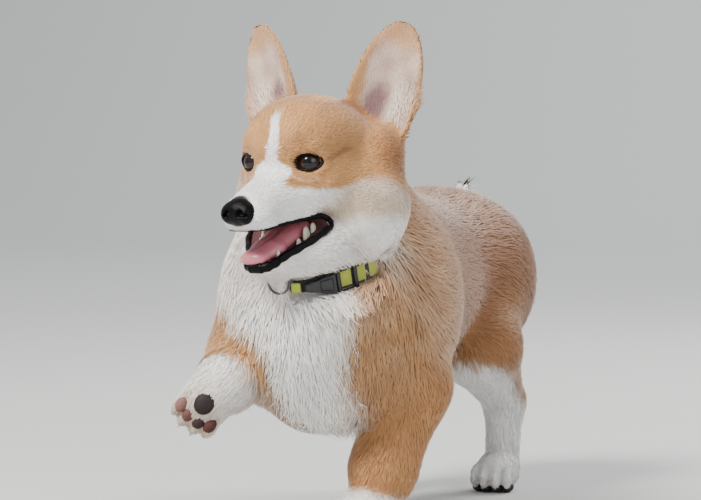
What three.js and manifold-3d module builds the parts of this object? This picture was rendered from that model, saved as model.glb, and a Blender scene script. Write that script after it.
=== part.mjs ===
// A pembroke welsh corgi stepping forward, life size. Millimetres: nose towards -Y, its left +X, up +Z.
// Every mass of the body is a named ellipsoid or tapered limb; a blend of them is the true outline of
// the coat. Each node is lofted on that outline, cut clear of what it grows from, and given its forms.
import * as THREE from "three";
import { mergeVertices } from "three/addons/utils/BufferGeometryUtils.js";
import Module from "manifold-3d";

const wasm = await Module();
wasm.setup();

// Driving dimensions
const gap = 0.3;                    // between pieces that touch
const eyeHeight = 312;              // mid-eye point above the floor
const eyeReach = -215;              // mid-eye point ahead of the middle of the body
const headOffset = -6.6;            // the turned head sits a little to the right
const headYaw = 14 * Math.PI / 180; // and looks a little to the right
const eyeSpread = 26.5;             // half the distance between the eyeball centres
const eyeRadius = 10.5;
const earHeight = 106;              // root inside the skull to tip
const earHalfWidth = 31;
const earCup = 15;
const collarWidth = 17;
const collarThick = 2.4;

// Small vector helpers
const v = (x, y, z) => new THREE.Vector3(x, y, z);
const mix = (a, b, t) => a + (b - a) * t;
const clamp = (t, lo, hi) => Math.min(hi, Math.max(lo, t));

// Masses: each returns a signed distance, below zero inside.
function ball(centre, radii, turn = new THREE.Matrix4()) {
  const back = turn.clone().invert();
  const q = v(0, 0, 0);
  return (p) => {
    q.copy(p).sub(centre).applyMatrix4(back);
    const k0 = Math.hypot(q.x / radii.x, q.y / radii.y, q.z / radii.z);
    const k1 = Math.hypot(q.x / radii.x ** 2, q.y / radii.y ** 2, q.z / radii.z ** 2);
    return k1 > 1e-9 ? k0 * (k0 - 1) / k1 : -Math.min(radii.x, radii.y, radii.z);
  };
}

function limb(from, to, r0, r1, squash = 1, across = v(1, 0, 0)) {
  const way = to.clone().sub(from);
  const length2 = way.lengthSq();
  const q = v(0, 0, 0);
  return (p) => {
    q.copy(p).sub(from);
    const t = clamp(q.dot(way) / length2, 0, 1);
    q.addScaledVector(way, -t);
    q.addScaledVector(across, q.dot(across) * (1 / squash - 1));
    return q.length() - mix(r0, r1, t);
  };
}

const soft = (a, b, k) => {
  const h = Math.max(k - Math.abs(a - b), 0) / k;
  return Math.min(a, b) - h * h * k / 4;
};
const blend = (k, ...parts) => (p) => parts.reduce((d, part) => soft(d, part(p), k), 1e6);
const carve = (body, tool, k) => (p) => -soft(-body(p), tool(p), k);

// The head's own frame: forward, left and up from the mid-eye point.
const headFrame = new THREE.Matrix4().makeRotationZ(-headYaw)
  .setPosition(headOffset, eyeReach, eyeHeight);
const onHead = (forward, left, up) => v(left, -forward, up).applyMatrix4(headFrame);
const headTurn = (pitch = 0, roll = 0) => new THREE.Matrix4().makeRotationZ(-headYaw)
  .multiply(new THREE.Matrix4().makeRotationX(pitch))
  .multiply(new THREE.Matrix4().makeRotationY(roll));

// Torso
const torsoMass = blend(45,
  ball(v(0, -62, 188), v(88, 142, 96)),
  ball(v(0, -138, 172), v(66, 68, 84)),
  ball(v(0, -45, 236), v(56, 95, 49)),
  ball(v(0, 75, 203), v(76, 120, 79)),
  ball(v(0, 178, 208), v(79, 80, 78)),
  ball(v(44, 188, 196), v(45, 62, 64)),
  ball(v(-44, 188, 196), v(45, 62, 64)),
  ball(v(56, -92, 182), v(35, 62, 74)),
  ball(v(-51, -98, 186), v(34, 64, 74)));

// Where long locks lie, the solid core stays below the coat's outline and the locks reach it.
const ramp = (t, from, to) => {
  const x = clamp((t - from) / (to - from), 0, 1);
  return x * x * (3 - 2 * x);
};
const coatDepth = (p) => 7 * Math.max(ramp(-p.y, 10, 110) * ramp(p.z, 60, 130), ramp(p.y, 150, 220));
const core = (mass) => (p) => mass(p) + coatDepth(p);

// Neck and throat
const nape = v(-4, -113, 306);
const neckRoot = v(0, -82, 212);
const neckMass = blend(30,
  limb(neckRoot, nape, 78, 62),
  ball(v(-3, -152, 226), v(62, 48, 58)));

// Head: skull, brows, cheeks, muzzle
const bothSides = (make) => [make(1), make(-1)];
const skullMass = blend(14,
  ball(onHead(-46, 0, 14), v(54, 60, 43)),
  ball(onHead(-26, 0, 13), v(35, 29, 33)),
  ...bothSides((s) => ball(onHead(-11, s * 22, 13), v(14, 13, 11))),
  ...bothSides((s) => ball(onHead(-36, s * 29, -15), v(24, 31, 24))),
  ...bothSides((s) => ball(onHead(-72, s * 53, 18), v(21, 27, 27))));
const cheekMass = blend(12,
  ...bothSides((s) => ball(onHead(-64, s * 46, -38), v(36, 34, 50))));
const muzzleRoot = onHead(-6, 0, -29);
const muzzleTip = onHead(43, 0, -40);
const headSide = v(1, 0, 0).applyMatrix4(headTurn());
const muzzleMass = blend(7,
  limb(muzzleRoot, muzzleTip, 28, 17, 1.12, headSide),
  ...bothSides((s) => ball(onHead(37, s * 10, -44), v(14, 18, 12))));
const upperMass = blend(16, skullMass, cheekMass, muzzleMass);

// Jaw, open: its line falls away below the upper lip from the corner of the mouth
const mouthCorner = { forward: -27, up: -43 };
const upperSlope = -0.155;
const lowerSlope = -0.79;
const jawRoot = onHead(-48, 0, -64);
const chin = onHead(19, 0, -79);
const jawMass = blend(20,
  limb(jawRoot, chin, 33, 13, 1.2, headSide),
  ball(onHead(-38, 0, -76), v(50, 42, 34)));
const mouthGap = (lift) => (p) => {
  const q = p.clone().applyMatrix4(headFrame.clone().invert());
  const run = -q.y - mouthCorner.forward;
  const above = (q.z - (mouthCorner.up + upperSlope * run)) / Math.hypot(1, upperSlope);
  const below = (mouthCorner.up + lowerSlope * run - q.z) / Math.hypot(1, lowerSlope);
  return Math.max(above, below) - lift;
};

// Legs: shoulder or hip, elbow or stifle, wrist or hock, and the paw
const legs = {
  fore_left: {
    joints: [v(48, -130, 178), v(64, -88, 120), v(49, -113, 50), v(43, -120, 20)],
    radii: [40, 35, 28, 19],
    paw: { centre: v(42, -128, 20), size: v(28, 37, 23), turn: new THREE.Matrix4() },
  },
  fore_right: {
    joints: [v(-46, -128, 182), v(-70, -128, 144), v(-60, -196, 129), v(-66, -210, 120)],
    radii: [38, 31, 25, 20],
    paw: null,
  },
  hind_left: {
    joints: [v(38, 172, 200), v(60, 124, 140), v(56, 214, 82), v(57, 203, 22)],
    radii: [42, 38, 19, 17],
    paw: { centre: v(57, 190, 18), size: v(22, 34, 21), turn: new THREE.Matrix4() },
  },
  hind_right: {
    joints: [v(-38, 166, 200), v(-58, 104, 140), v(-48, 172, 82), v(-44, 152, 22)],
    radii: [42, 38, 19, 17],
    paw: { centre: v(-43, 138, 18), size: v(22, 34, 21), turn: new THREE.Matrix4() },
  },
};
// The lifted paw shows its sole to the front: its toes point down and out, its palm forward.
const liftedToes = v(-0.56, -0.22, -0.80).normalize();
const liftedSole = v(0.30, -0.94, -0.06).normalize();
const liftedSide = liftedSole.clone().cross(liftedToes).normalize();
const palm = liftedToes.clone().cross(liftedSide).normalize();
legs.fore_right.paw = {
  centre: v(-72, -213, 113),
  size: v(24, 27, 20),
  turn: new THREE.Matrix4().makeBasis(liftedSide, liftedToes.clone().negate(), palm.negate()),
};

// Loft: rings of rays from an axis out to the surface of a mass, closed by a pole at each end
function axisFrames(points, count, lead) {
  const curve = new THREE.CatmullRomCurve3(points);
  const frames = [];
  for (let i = 0; i < count; i += 1) {
    const t = 0.5 - 0.5 * Math.cos(Math.PI * (i + 0.5) / count);
    const along = curve.getTangentAt(t).normalize();
    const u = lead.clone().addScaledVector(along, -lead.dot(along)).normalize();
    frames.push({ c: curve.getPointAt(t), along, u, w: along.clone().cross(u) });
  }
  return frames;
}

function castRay(field, origin, direction, reach) {
  const p = origin.clone().addScaledVector(direction, reach);
  if (field(p) < 0) return reach;
  let inside = 0;
  let outside = reach;
  for (let i = 0; i < 22; i += 1) {
    const middle = (inside + outside) / 2;
    p.copy(origin).addScaledVector(direction, middle);
    if (field(p) < 0) inside = middle;
    else outside = middle;
  }
  return inside;
}

function loft(field, frames, sides, reach, grow = 0) {
  const grown = (p) => field(p) - grow;
  const points = [];
  const ends = [frames[0], frames[frames.length - 1]];
  ends.forEach((end, k) => {
    const way = end.along.clone().multiplyScalar(k === 0 ? -1 : 1);
    points.push(end.c.clone().addScaledVector(way, Math.max(castRay(grown, end.c, way, reach * 0.6), 0.6)));
  });
  for (const frame of frames) {
    for (let j = 0; j < sides; j += 1) {
      const a = 2 * Math.PI * j / sides;
      const way = frame.u.clone().multiplyScalar(Math.cos(a)).addScaledVector(frame.w, Math.sin(a));
      points.push(frame.c.clone().addScaledVector(way, Math.max(castRay(grown, frame.c, way, reach), 0.6)));
    }
  }
  const index = [];
  const at = (i, j) => 2 + i * sides + (j % sides);
  for (let j = 0; j < sides; j += 1) {
    index.push(0, at(0, j + 1), at(0, j));
    for (let i = 0; i + 1 < frames.length; i += 1) {
      index.push(at(i, j), at(i, j + 1), at(i + 1, j + 1), at(i, j), at(i + 1, j + 1), at(i + 1, j));
    }
    index.push(1, at(frames.length - 1, j), at(frames.length - 1, j + 1));
  }
  return solid(shell(points, index));
}

// Meshes and solids
function shell(points, index) {
  const geometry = new THREE.BufferGeometry();
  geometry.setAttribute("position", new THREE.Float32BufferAttribute(points.flatMap((p) => [p.x, p.y, p.z]), 3));
  geometry.setIndex(index);
  return geometry;
}

function solid(geometry) {
  const bare = geometry.clone();
  bare.deleteAttribute("normal");
  bare.deleteAttribute("uv");
  const merged = mergeVertices(bare, 1e-4);
  const vertProperties = new Float32Array(merged.attributes.position.array);
  const triVerts = new Uint32Array(merged.index.array);
  let body = new wasm.Manifold(new wasm.Mesh({ numProp: 3, vertProperties, triVerts }));
  if (body.volume() < 0) {
    for (let i = 0; i < triVerts.length; i += 3) {
      [triVerts[i + 1], triVerts[i + 2]] = [triVerts[i + 2], triVerts[i + 1]];
    }
    body = new wasm.Manifold(new wasm.Mesh({ numProp: 3, vertProperties, triVerts }));
  }
  return body;
}

function geometryOf(body, origin) {
  const mesh = body.getMesh();
  const points = [];
  for (let i = 0; i < mesh.numVert; i += 1) {
    const k = i * mesh.numProp;
    points.push(mesh.vertProperties[k] - origin.x, mesh.vertProperties[k + 1] - origin.y,
      mesh.vertProperties[k + 2] - origin.z);
  }
  const geometry = new THREE.BufferGeometry();
  geometry.setAttribute("position", new THREE.Float32BufferAttribute(points, 3));
  geometry.setIndex([...mesh.triVerts]);
  geometry.computeVertexNormals();
  return geometry;
}

const largest = (body) => body.decompose().reduce((a, b) => (b.volume() > a.volume() ? b : a));
const placed = (geometry, matrix) => solid(geometry.clone().applyMatrix4(matrix));
const egg = (centre, size, turn, fine = 10) => placed(
  new THREE.SphereGeometry(1, fine, Math.max(5, Math.round(fine * 0.7))),
  new THREE.Matrix4().setPosition(centre).multiply(turn).scale(size));
const spike = (from, to, r) => {
  const way = to.clone().sub(from);
  const turn = new THREE.Quaternion().setFromUnitVectors(v(0, 1, 0), way.clone().normalize());
  const middle = from.clone().addScaledVector(way, 0.5);
  return placed(new THREE.ConeGeometry(r, way.length(), 4),
    new THREE.Matrix4().compose(middle, turn, v(1, 1, 1)));
};
const rope = (curve, r, steps) => {
  const ring = new THREE.Shape().absarc(0, 0, r, 0, 2 * Math.PI);
  return solid(new THREE.ExtrudeGeometry(ring, { steps, extrudePath: curve, curveSegments: 3 }));
};

// Nodes: name -> { flesh(grow), locks(grow), colour, roughness, origin }
const nodes = new Map();
const colours = {
  tan: 0xb9793f, white: 0xece6dc, dark: 0x1c1a1b, pink: 0xc4707a, iris: 0x2a1710,
  webbing: 0xb8b83a, plastic: 0x202224, metal: 0x8d8f92,
};
function node(name, colour, origin, flesh, options = {}) {
  nodes.set(name, { colour, origin, flesh, roughness: 0.8, metalness: 0, locks: null, ...options });
}

// Torso
const spine = [v(0, -192, 162), v(0, -120, 178), v(0, 60, 203), v(0, 248, 208)];
node("torso", colours.tan, v(0, 0, 195),
  (grow) => loft(core(torsoMass), axisFrames(spine, 17, v(0, 0, 1)), 20, 150, grow));

// Tail: the short stub that this breed carries
node("tail", colours.white, v(0, 235, 268),
  (grow) => loft(limb(v(0, 232, 262), v(0, 256, 281), 15, 9),
    axisFrames([v(0, 228, 259), v(0, 257, 282)], 7, v(1, 0, 0)), 10, 40, grow));

// Neck
node("neck", colours.tan, v(0, -100, 250),
  (grow) => loft(core(neckMass),
    axisFrames([v(-1, -95, 205), v(-3, -110, 255), v(-5, -122, 315)], 8, v(1, 0, 0)), 20, 120, grow));

// Head with its lips, lids and upper teeth
const headAxis = [onHead(-88, 0, -12), onHead(-40, 0, -16), onHead(16, 0, -34), onHead(48, 0, -41)];
const headSolid = carve(upperMass, mouthGap(0), 2);
const gazeYaw = 0.42;
const gazeTurn = (side) => headTurn().multiply(new THREE.Matrix4().makeRotationZ(side * gazeYaw));
const alongGaze = (side, reach) => onHead(-8.5 + Math.cos(gazeYaw) * reach,
  side * (eyeSpread + Math.sin(gazeYaw) * reach), 0);
const lidRing = (side, grow) => placed(new THREE.TorusGeometry(9.4, 2.3 + grow, 4, 12),
  new THREE.Matrix4().setPosition(alongGaze(side, 7.6)).multiply(gazeTurn(side))
    .multiply(new THREE.Matrix4().makeRotationX(Math.PI / 2)).multiply(new THREE.Matrix4().makeScale(1.3, 0.85, 1)));
const lidOpening = (side) => egg(alongGaze(side, 12), v(11.4, 9, 6.6), gazeTurn(side), 12);
node("head", colours.tan, onHead(-50, 0, 0), (grow) => {
  let body = loft(headSolid, axisFrames(headAxis, 20, v(0, 0, 1)), 24, 110, grow);
  for (const side of [1, -1]) body = body.add(lidRing(side, grow));
  body = body.add(lipRim(upperMass, upperSlope, 1.6, 52, 2 + grow));
  if (grow === 0) for (const side of [1, -1]) body = body.subtract(lidOpening(side));
  return body;
});

// Lips: a rim along both edges of the open mouth, from corner to corner round the front
const lipRim = (mass, slope, drop, reach, r) => {
  const points = [];
  const steps = 6;
  const place = (k, side) => {
    const forward = mix(mouthCorner.forward + 1, reach, Math.sin(k / steps * Math.PI / 2));
    const up = mouthCorner.up + slope * (forward - mouthCorner.forward) + drop;
    const wide = castRay(mass, onHead(forward, 0, up), headSide.clone().multiplyScalar(side), 70);
    return onHead(forward, side * Math.max(wide - 0.6, 0), up);
  };
  for (let k = 0; k < steps; k += 1) points.push(place(k, 1));
  points.push(place(steps, 0));
  for (let k = steps - 1; k >= 0; k -= 1) points.push(place(k, -1));
  return rope(new THREE.CatmullRomCurve3(points), r, 14);
};

// Jaw with its lip, canines and the large teeth beside the tongue
const jawSolid = carve(carve(jawMass, mouthGap(gap), 2), (p) => upperMass(p) - 6, 4);
node("jaw", colours.white, onHead(-10, 0, -70), (grow) => {
  let body = loft(jawSolid,
    axisFrames([onHead(-55, 0, -80), onHead(-20, 0, -80), onHead(21, 0, -87)], 9, v(0, 0, 1)), 14, 80, grow)
    .add(lipRim(jawMass, lowerSlope, -1.8, 30, 2.2 + grow));
  for (const side of [1, -1]) {
    body = body.add(spike(onHead(15, side * 12, -82), onHead(17, side * 13, -71.5), 2.4 + grow));
    body = body.add(spike(onHead(-13, side * 20, -68), onHead(-11, side * 19.5, -49), 5 + grow));
  }
  return body;
});

// Nose with its nostrils
const noseCentre = onHead(50, 0, -39);
node("nose", colours.dark, noseCentre, (grow) => {
  let body = egg(noseCentre, v(14.5, 13, 11.5).addScalar(grow), headTurn(-0.25), 11);
  if (grow === 0) {
    for (const side of [1, -1]) {
      body = body.subtract(egg(onHead(61.5, side * 6.8, -40), v(3, 5, 2.6), headTurn(0, side * 0.5), 6));
    }
  }
  return body;
}, { roughness: 0.35 });

// Tongue
node("tongue", colours.pink, onHead(0, 0, -66), (grow) => loft(
  limb(onHead(-18, 0, -56), onHead(26, -3, -79), 14, 11, 1.35, headSide),
  axisFrames([onHead(-20, 0, -56), onHead(6, 0, -69), onHead(29, -3, -81)], 6, v(0, 0, 1)), 10, 40, grow),
{ roughness: 0.4 });

// Eyes
for (const [name, side] of [["eye_left", 1], ["eye_right", -1]]) {
  node(name, colours.iris, onHead(-8.5, side * eyeSpread, 0),
    (grow) => egg(onHead(-8.5, side * eyeSpread, 0), v(1, 1, 1).multiplyScalar(eyeRadius + grow),
      new THREE.Matrix4(), 10), { roughness: 0.1 });
}

// Ears: a cupped blade that grows out of the skull and ends in a round tip
function earBlade(side, grow) {
  const root = onHead(-66, side * 45, 16);
  const tip = onHead(-77, side * 75, 115);
  const up = tip.clone().sub(root).normalize();
  const facing = v(side > 0 ? 0.385 : -0.24, -0.92, 0).normalize().transformDirection(headTurn());
  const across = facing.clone().cross(up).normalize().multiplyScalar(side);
  const out = up.clone().cross(across).normalize().multiplyScalar(side);
  const rows = 8;
  const columns = 7;
  const front = [];
  const back = [];
  for (let i = 0; i <= rows; i += 1) {
    const t = i / rows;
    const s = 1 - (1 - t) ** 1.25;
    const neck = 0.8 + 0.2 * clamp(s / 0.32, 0, 1);
    const half = (earHalfWidth + grow) * neck * Math.max(1 - s ** 3.4, 0) ** 0.62 + 0.5;
    const cup = earCup * (1 - 0.62 * s) * (half / earHalfWidth);
    for (let j = 0; j < columns; j += 1) {
      const a = -1 + 2 * j / (columns - 1);
      const bow = Math.cos(a * Math.PI / 2);
      const base = root.clone().addScaledVector(up, s * earHeight)
        .addScaledVector(across, a * half).addScaledVector(out, -cup * bow);
      const thick = 1.1 + 1.6 * bow + 2 * (1 - s) + grow;
      front.push(base.clone().addScaledVector(out, thick));
      back.push(base.clone().addScaledVector(out, -thick));
    }
  }
  const points = [...front, ...back];
  const index = [];
  const size = front.length;
  const at = (i, j) => i * columns + j;
  for (let i = 0; i < rows; i += 1) {
    for (let j = 0; j + 1 < columns; j += 1) {
      const [a, b, c, d] = [at(i, j), at(i, j + 1), at(i + 1, j + 1), at(i + 1, j)];
      index.push(a, b, c, a, c, d, size + a, size + c, size + b, size + a, size + d, size + c);
    }
    for (const [j, flip] of [[0, 0], [columns - 1, 1]]) {
      const [a, d] = [at(i, j), at(i + 1, j)];
      if (flip) index.push(a, size + a, size + d, a, size + d, d);
      else index.push(a, size + d, size + a, a, d, size + d);
    }
  }
  for (const [i, flip] of [[0, 0], [rows, 1]]) {
    for (let j = 0; j + 1 < columns; j += 1) {
      const [a, b] = [at(i, j), at(i, j + 1)];
      if (flip) index.push(a, b, size + b, a, size + b, size + a);
      else index.push(a, size + b, b, a, size + a, size + b);
    }
  }
  return solid(shell(points, index));
}
for (const [name, side] of [["ear_left", 1], ["ear_right", -1]]) {
  node(name, colours.tan, onHead(-70, side * 46, 30), (grow) => earBlade(side, grow));
}

// Legs: upper and lower lengths, and a paw with toes, claws and pads
const toePlaces = [-0.66, -0.24, 0.24, 0.66];
const legNodes = (name) => (name.startsWith("fore")
  ? [`upper_arm_${name}`, `forearm_${name}`]
  : [`thigh_${name}`, `shank_${name}`, `hock_${name}`]);
function pawSolid(leg, grow) {
  const { centre, size, turn } = leg.paw;
  const local = (x, y, z) => v(x, y, z).applyMatrix4(turn).add(centre);
  let body = egg(centre, size.clone().addScalar(grow), turn, 9);
  for (const place of toePlaces) {
    const ahead = -size.y * (0.98 - 0.42 * Math.abs(place));
    const toe = local(place * size.x * 1.05, ahead * 0.78, -size.z * 0.12);
    body = body.add(egg(toe, v(size.x * 0.3, size.y * 0.33, size.z * 0.62).addScalar(grow), turn, 5));
    const clawRoot = local(place * size.x * 1.08, ahead * 0.98, -size.z * 0.1);
    const clawTip = local(place * size.x * 1.12, ahead * 1.22, -size.z * 0.5);
    body = body.add(spike(clawRoot, clawTip, 2.6 + grow));
    if (leg === legs.fore_right) {
      const pad = local(place * size.x * 0.92, ahead * 0.6, -size.z * 0.78);
      body = body.add(egg(pad, v(4.6, 6.2, 5).addScalar(grow), turn, 5));
    }
  }
  if (leg === legs.fore_right) {
    body = body.add(egg(local(0, size.y * 0.08, -size.z * 0.84), v(10, 8, 5).addScalar(grow), turn, 7));
  }
  return body;
}
for (const [name, leg] of Object.entries(legs)) {
  const [top, middle, low, foot] = leg.joints;
  const [r0, r1, r2, r3] = leg.radii;
  const upper = limb(top, middle, r0, r1);
  const lower = limb(middle, low, r1 * 0.95, r2);
  const ankle = limb(low, foot, r2, r3);
  const isFore = name.startsWith("fore");
  const [upperName, lowerName, ankleName] = legNodes(name);
  node(upperName, colours.tan, top,
    (grow) => loft(blend(12, upper, lower), axisFrames([top, middle], 5, v(0, -1, 0.3)), 12, 62, grow));
  node(lowerName, colours.tan, middle, (grow) => loft(isFore ? blend(16, lower, upper, ankle) : blend(16, lower, upper),
    axisFrames(isFore ? [middle, low, foot] : [middle, low], isFore ? 8 : 6, v(0, -1, 0.3)), 12, 46, grow));
  if (!isFore) {
    node(ankleName, colours.white, low,
      (grow) => loft(blend(10, ankle, lower), axisFrames([low, foot], 5, v(0, -1, 0.1)), 10, 26, grow));
  }
  node(`paw_${name}`, colours.white, leg.paw.centre, (grow) => pawSolid(leg, grow));
}

// Collar: webbing round the neck over the coat, a slider, a buckle and a hanging ring
const collarCentre = v(-3, -124, 238);
const collarNormal = v(-0.02, -0.34, 0.94).normalize();
const collarReach = { side: 68, front: 82, back: 62 };
const collarLeft = v(1, 0, 0).addScaledVector(collarNormal, -collarNormal.x).normalize();
const collarFront = collarLeft.clone().cross(collarNormal).normalize();
function collarPoint(angle, lift, rise) {
  const ahead = Math.cos(angle) > 0 ? collarReach.front : collarReach.back;
  return collarCentre.clone()
    .addScaledVector(collarLeft, Math.sin(angle) * (collarReach.side + lift))
    .addScaledVector(collarFront, Math.cos(angle) * (ahead + lift))
    .addScaledVector(collarNormal, rise);
}
node("collar_band", colours.webbing, collarCentre, (grow) => {
  const turns = 32;
  const points = [];
  const section = [[0, -1], [collarThick, -1], [collarThick, 1], [0, 1]];
  for (let i = 0; i < turns; i += 1) {
    for (const [lift, side] of section) {
      const out = lift + (lift > 0 ? grow : -grow);
      points.push(collarPoint(2 * Math.PI * i / turns, out, side * (collarWidth / 2 + grow)));
    }
  }
  const index = [];
  for (let i = 0; i < turns; i += 1) {
    for (let j = 0; j < 4; j += 1) {
      const [a, b] = [i * 4 + j, i * 4 + (j + 1) % 4];
      const [c, d] = [((i + 1) % turns) * 4 + (j + 1) % 4, ((i + 1) % turns) * 4 + j];
      index.push(a, b, c, a, c, d);
    }
  }
  return solid(shell(points, index));
}, { roughness: 0.7 });

// Hardware on the collar, each at its angle from the front: a slider, a side-release buckle,
// a webbing loop and the ring that hangs from it in front of the chest
function onCollar(angle, lift) {
  const along = collarPoint(angle + 0.02, 0, 0).sub(collarPoint(angle - 0.02, 0, 0)).normalize();
  const out = along.clone().cross(collarNormal).normalize();
  if (out.dot(collarPoint(angle, 0, 0).sub(collarCentre)) < 0) out.negate();
  return new THREE.Matrix4().makeBasis(collarNormal.clone().cross(out), collarNormal, out)
    .setPosition(collarPoint(angle, collarThick + gap, 0).addScaledVector(out, lift));
}
const panel = (long, tall, taper) => new THREE.Shape([
  new THREE.Vector2(-long / 2, -tall / 2), new THREE.Vector2(long / 2, -tall * taper / 2),
  new THREE.Vector2(long / 2, tall * taper / 2), new THREE.Vector2(-long / 2, tall / 2)]);
const plate = (shape, depth, place) => placed(
  new THREE.ExtrudeGeometry(shape, { depth, bevelEnabled: false }), place);
node("collar_slider", colours.plastic, collarPoint(0.7, 4, 0), (grow) => {
  const frame = panel(19 + 2 * grow, 23 + 2 * grow, 1);
  if (grow === 0) frame.holes.push(new THREE.Path(panel(11, 17, 1).getPoints().reverse()));
  return plate(frame, 3 + grow, onCollar(0.7, 0));
}, { roughness: 0.35 });
node("collar_buckle", colours.plastic, collarPoint(0.38, 4, 0), (grow) => plate(
  panel(26 + 2 * grow, 10 + 2 * grow, 1.7), 5.5 + grow, onCollar(0.4, 0)), { roughness: 0.35 });
node("collar_loop", colours.webbing, collarPoint(0.12, 4, 0), (grow) => plate(
  panel(8 + 2 * grow, 9 + 2 * grow, 0.85), 3.4 + grow, onCollar(0.12, 0)), { roughness: 0.7 });
const ringPlace = collarPoint(-0.06, collarThick + 3.2, 4);
node("collar_ring", colours.metal, ringPlace, (grow) => placed(
  new THREE.TorusGeometry(9, 1.2 + grow, 5, 16),
  new THREE.Matrix4().makeRotationZ(0.1).setPosition(ringPlace).multiply(new THREE.Matrix4()
    .makeRotationX(Math.PI / 2))), { roughness: 0.25, metalness: 1 });

// Locks: flat tapered strips, root sunk in the core, that lie along the coat and lift towards the tip
let draw = 20250317;
const chance = (spread = 1) => {
  draw = (draw * 1664525 + 1013904223) % 4294967296;
  return (draw / 2147483648 - 1) * spread;
};
const normalAt = (field, p) => {
  const e = 1;
  return v(field(v(p.x + e, p.y, p.z)) - field(v(p.x - e, p.y, p.z)),
    field(v(p.x, p.y + e, p.z)) - field(v(p.x, p.y - e, p.z)),
    field(v(p.x, p.y, p.z + e)) - field(v(p.x, p.y, p.z - e))).normalize();
};
function lockPath(field, root, lie, { length, lift, curl }) {
  const rings = 4;
  const sink = 5;
  const path = [];
  const side = normalAt(field, root).cross(lie).normalize();
  for (let i = 0; i <= rings; i += 1) {
    const s = i / rings;
    const p = root.clone().addScaledVector(lie, length * s)
      .addScaledVector(side, curl * Math.sin(Math.PI * s * 0.9));
    const normal = normalAt(field, p);
    p.addScaledVector(normal, clamp(mix(-sink, lift, Math.sqrt(s)) - field(p), -12, 12));
    path.push({ p, normal });
  }
  return path;
}
function lockSolid(path, width, grow) {
  const points = [];
  const sides = 3;
  const last = path.length - 1;
  for (let i = 0; i < last; i += 1) {
    const { normal } = path[i];
    const along = path[i + 1].p.clone().sub(path[Math.max(i - 1, 0)].p).normalize();
    const p = path[i].p.clone().addScaledVector(along, i === 0 ? -grow : 0);
    const across = normal.clone().cross(along).normalize();
    const s = i / last;
    const half = width / 2 * (0.75 + 1.1 * s - 1.75 * s * s) + 6 * grow;
    const thick = 3.4 * (1 - 0.55 * s) + 1.5 * grow;
    points.push(p.clone().addScaledVector(across, -half).addScaledVector(normal, -grow),
      p.clone().addScaledVector(across, half).addScaledVector(normal, -grow),
      p.clone().addScaledVector(normal, thick));
  }
  const tip = path[last].p.clone().add(path[last].p.clone().sub(path[last - 1].p).setLength(grow));
  points.push(tip);
  const index = [0, 1, 2];
  for (let j = 0; j < sides; j += 1) {
    const k = (j + 1) % sides;
    for (let i = 0; i + 1 < last; i += 1) {
      const [a, b] = [i * sides + j, i * sides + k];
      index.push(a, b + sides, b, a, a + sides, b + sides);
    }
    index.push((last - 1) * sides + j, points.length - 1, (last - 1) * sides + k);
  }
  return solid(shell(points, index));
}

// A zone of locks: rows and columns of rays out of the body, each with the lie of the coat there
const coats = new Map();
function zone(name, field, { rows, columns, from, towards, lie, length, width, lift }) {
  const list = coats.get(name) ?? [];
  for (let i = 0; i < rows; i += 1) {
    for (let j = 0; j < columns; j += 1) {
      const a = (i + 0.5 + chance(0.3)) / rows;
      const b = (j + 0.5 * (i % 2) + 0.25 + chance(0.3)) / columns * 2 - 1;
      const origin = from(a, b);
      const way = towards(a, b).normalize();
      const reach = castRay(field, origin, way, 150);
      if (reach < 2 || reach > 149) continue;
      const root = origin.addScaledVector(way, reach);
      const rise = root.clone().sub(collarCentre).dot(collarNormal);
      if (name === "torso" && rise > -9 && rise < 60) continue;
      const normal = normalAt(field, root);
      const flow = lie(a, b).add(v(chance(0.12), chance(0.12), chance(0.12)));
      flow.addScaledVector(normal, -flow.dot(normal)).normalize();
      const path = lockPath(field, root, flow,
        { length: length * (1 + chance(0.2)), lift: lift * (1 + chance(0.3)), curl: chance(5) });
      const wide = width * (1 + chance(0.2));
      list.push((grow) => lockSolid(path, wide, grow));
    }
  }
  coats.set(name, list);
}
const round = (angle) => v(Math.sin(angle), -Math.cos(angle), 0);

// Chest: the bib falls from the collar to between the forelegs
zone("torso", core(torsoMass), {
  rows: 6, columns: 5, length: 50, width: 27, lift: 9,
  from: (a) => v(0, -105, mix(210, 112, a)), towards: (a, b) => round(b * 1.25),
  lie: (a, b) => v(b * 0.35, 0, -1),
});
// Underline: a fringe from the brisket back to the belly
zone("torso", core(torsoMass), {
  rows: 2, columns: 6, length: 32, width: 17, lift: 8,
  from: (a, b) => v(mix(-22, 22, a), mix(-130, 60, (b + 1) / 2), 150), towards: () => v(0, 0, -1),
  lie: () => v(0, 0.7, -0.7),
});
for (const side of [1, -1]) {
  // Neck and shoulder: long wavy locks that sweep back from the collar
  zone("torso", core(torsoMass), {
    rows: 4, columns: 3, length: 56, width: 28, lift: 9,
    from: (a) => v(0, mix(-140, -30, a), 200), towards: (a, b) => v(side * Math.sin(1.15 + 0.8 * b), 0, Math.cos(1.15 + 0.8 * b)),
    lie: () => v(0, 0.85, -0.55),
  });
  // Breeches: the back of the thighs below the rump
  zone("torso", core(torsoMass), {
    rows: 3, columns: 3, length: 40, width: 21, lift: 8,
    from: (a) => v(side * 32, 185, mix(242, 160, a)), towards: (a, b) => v(side * Math.sin(0.35 + 0.6 * b), Math.cos(0.35 + 0.6 * b), 0),
    lie: () => v(0, 0.12, -1),
  });
}
// Nape, between the ears and the withers
zone("neck", core(neckMass), {
  rows: 2, columns: 6, length: 34, width: 26, lift: 7,
  from: (a) => v(-4, -108, mix(334, 290, a)), towards: (a, b) => round(Math.PI + b * 1.9),
  lie: () => v(0, 0.55, -0.85),
});
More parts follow.
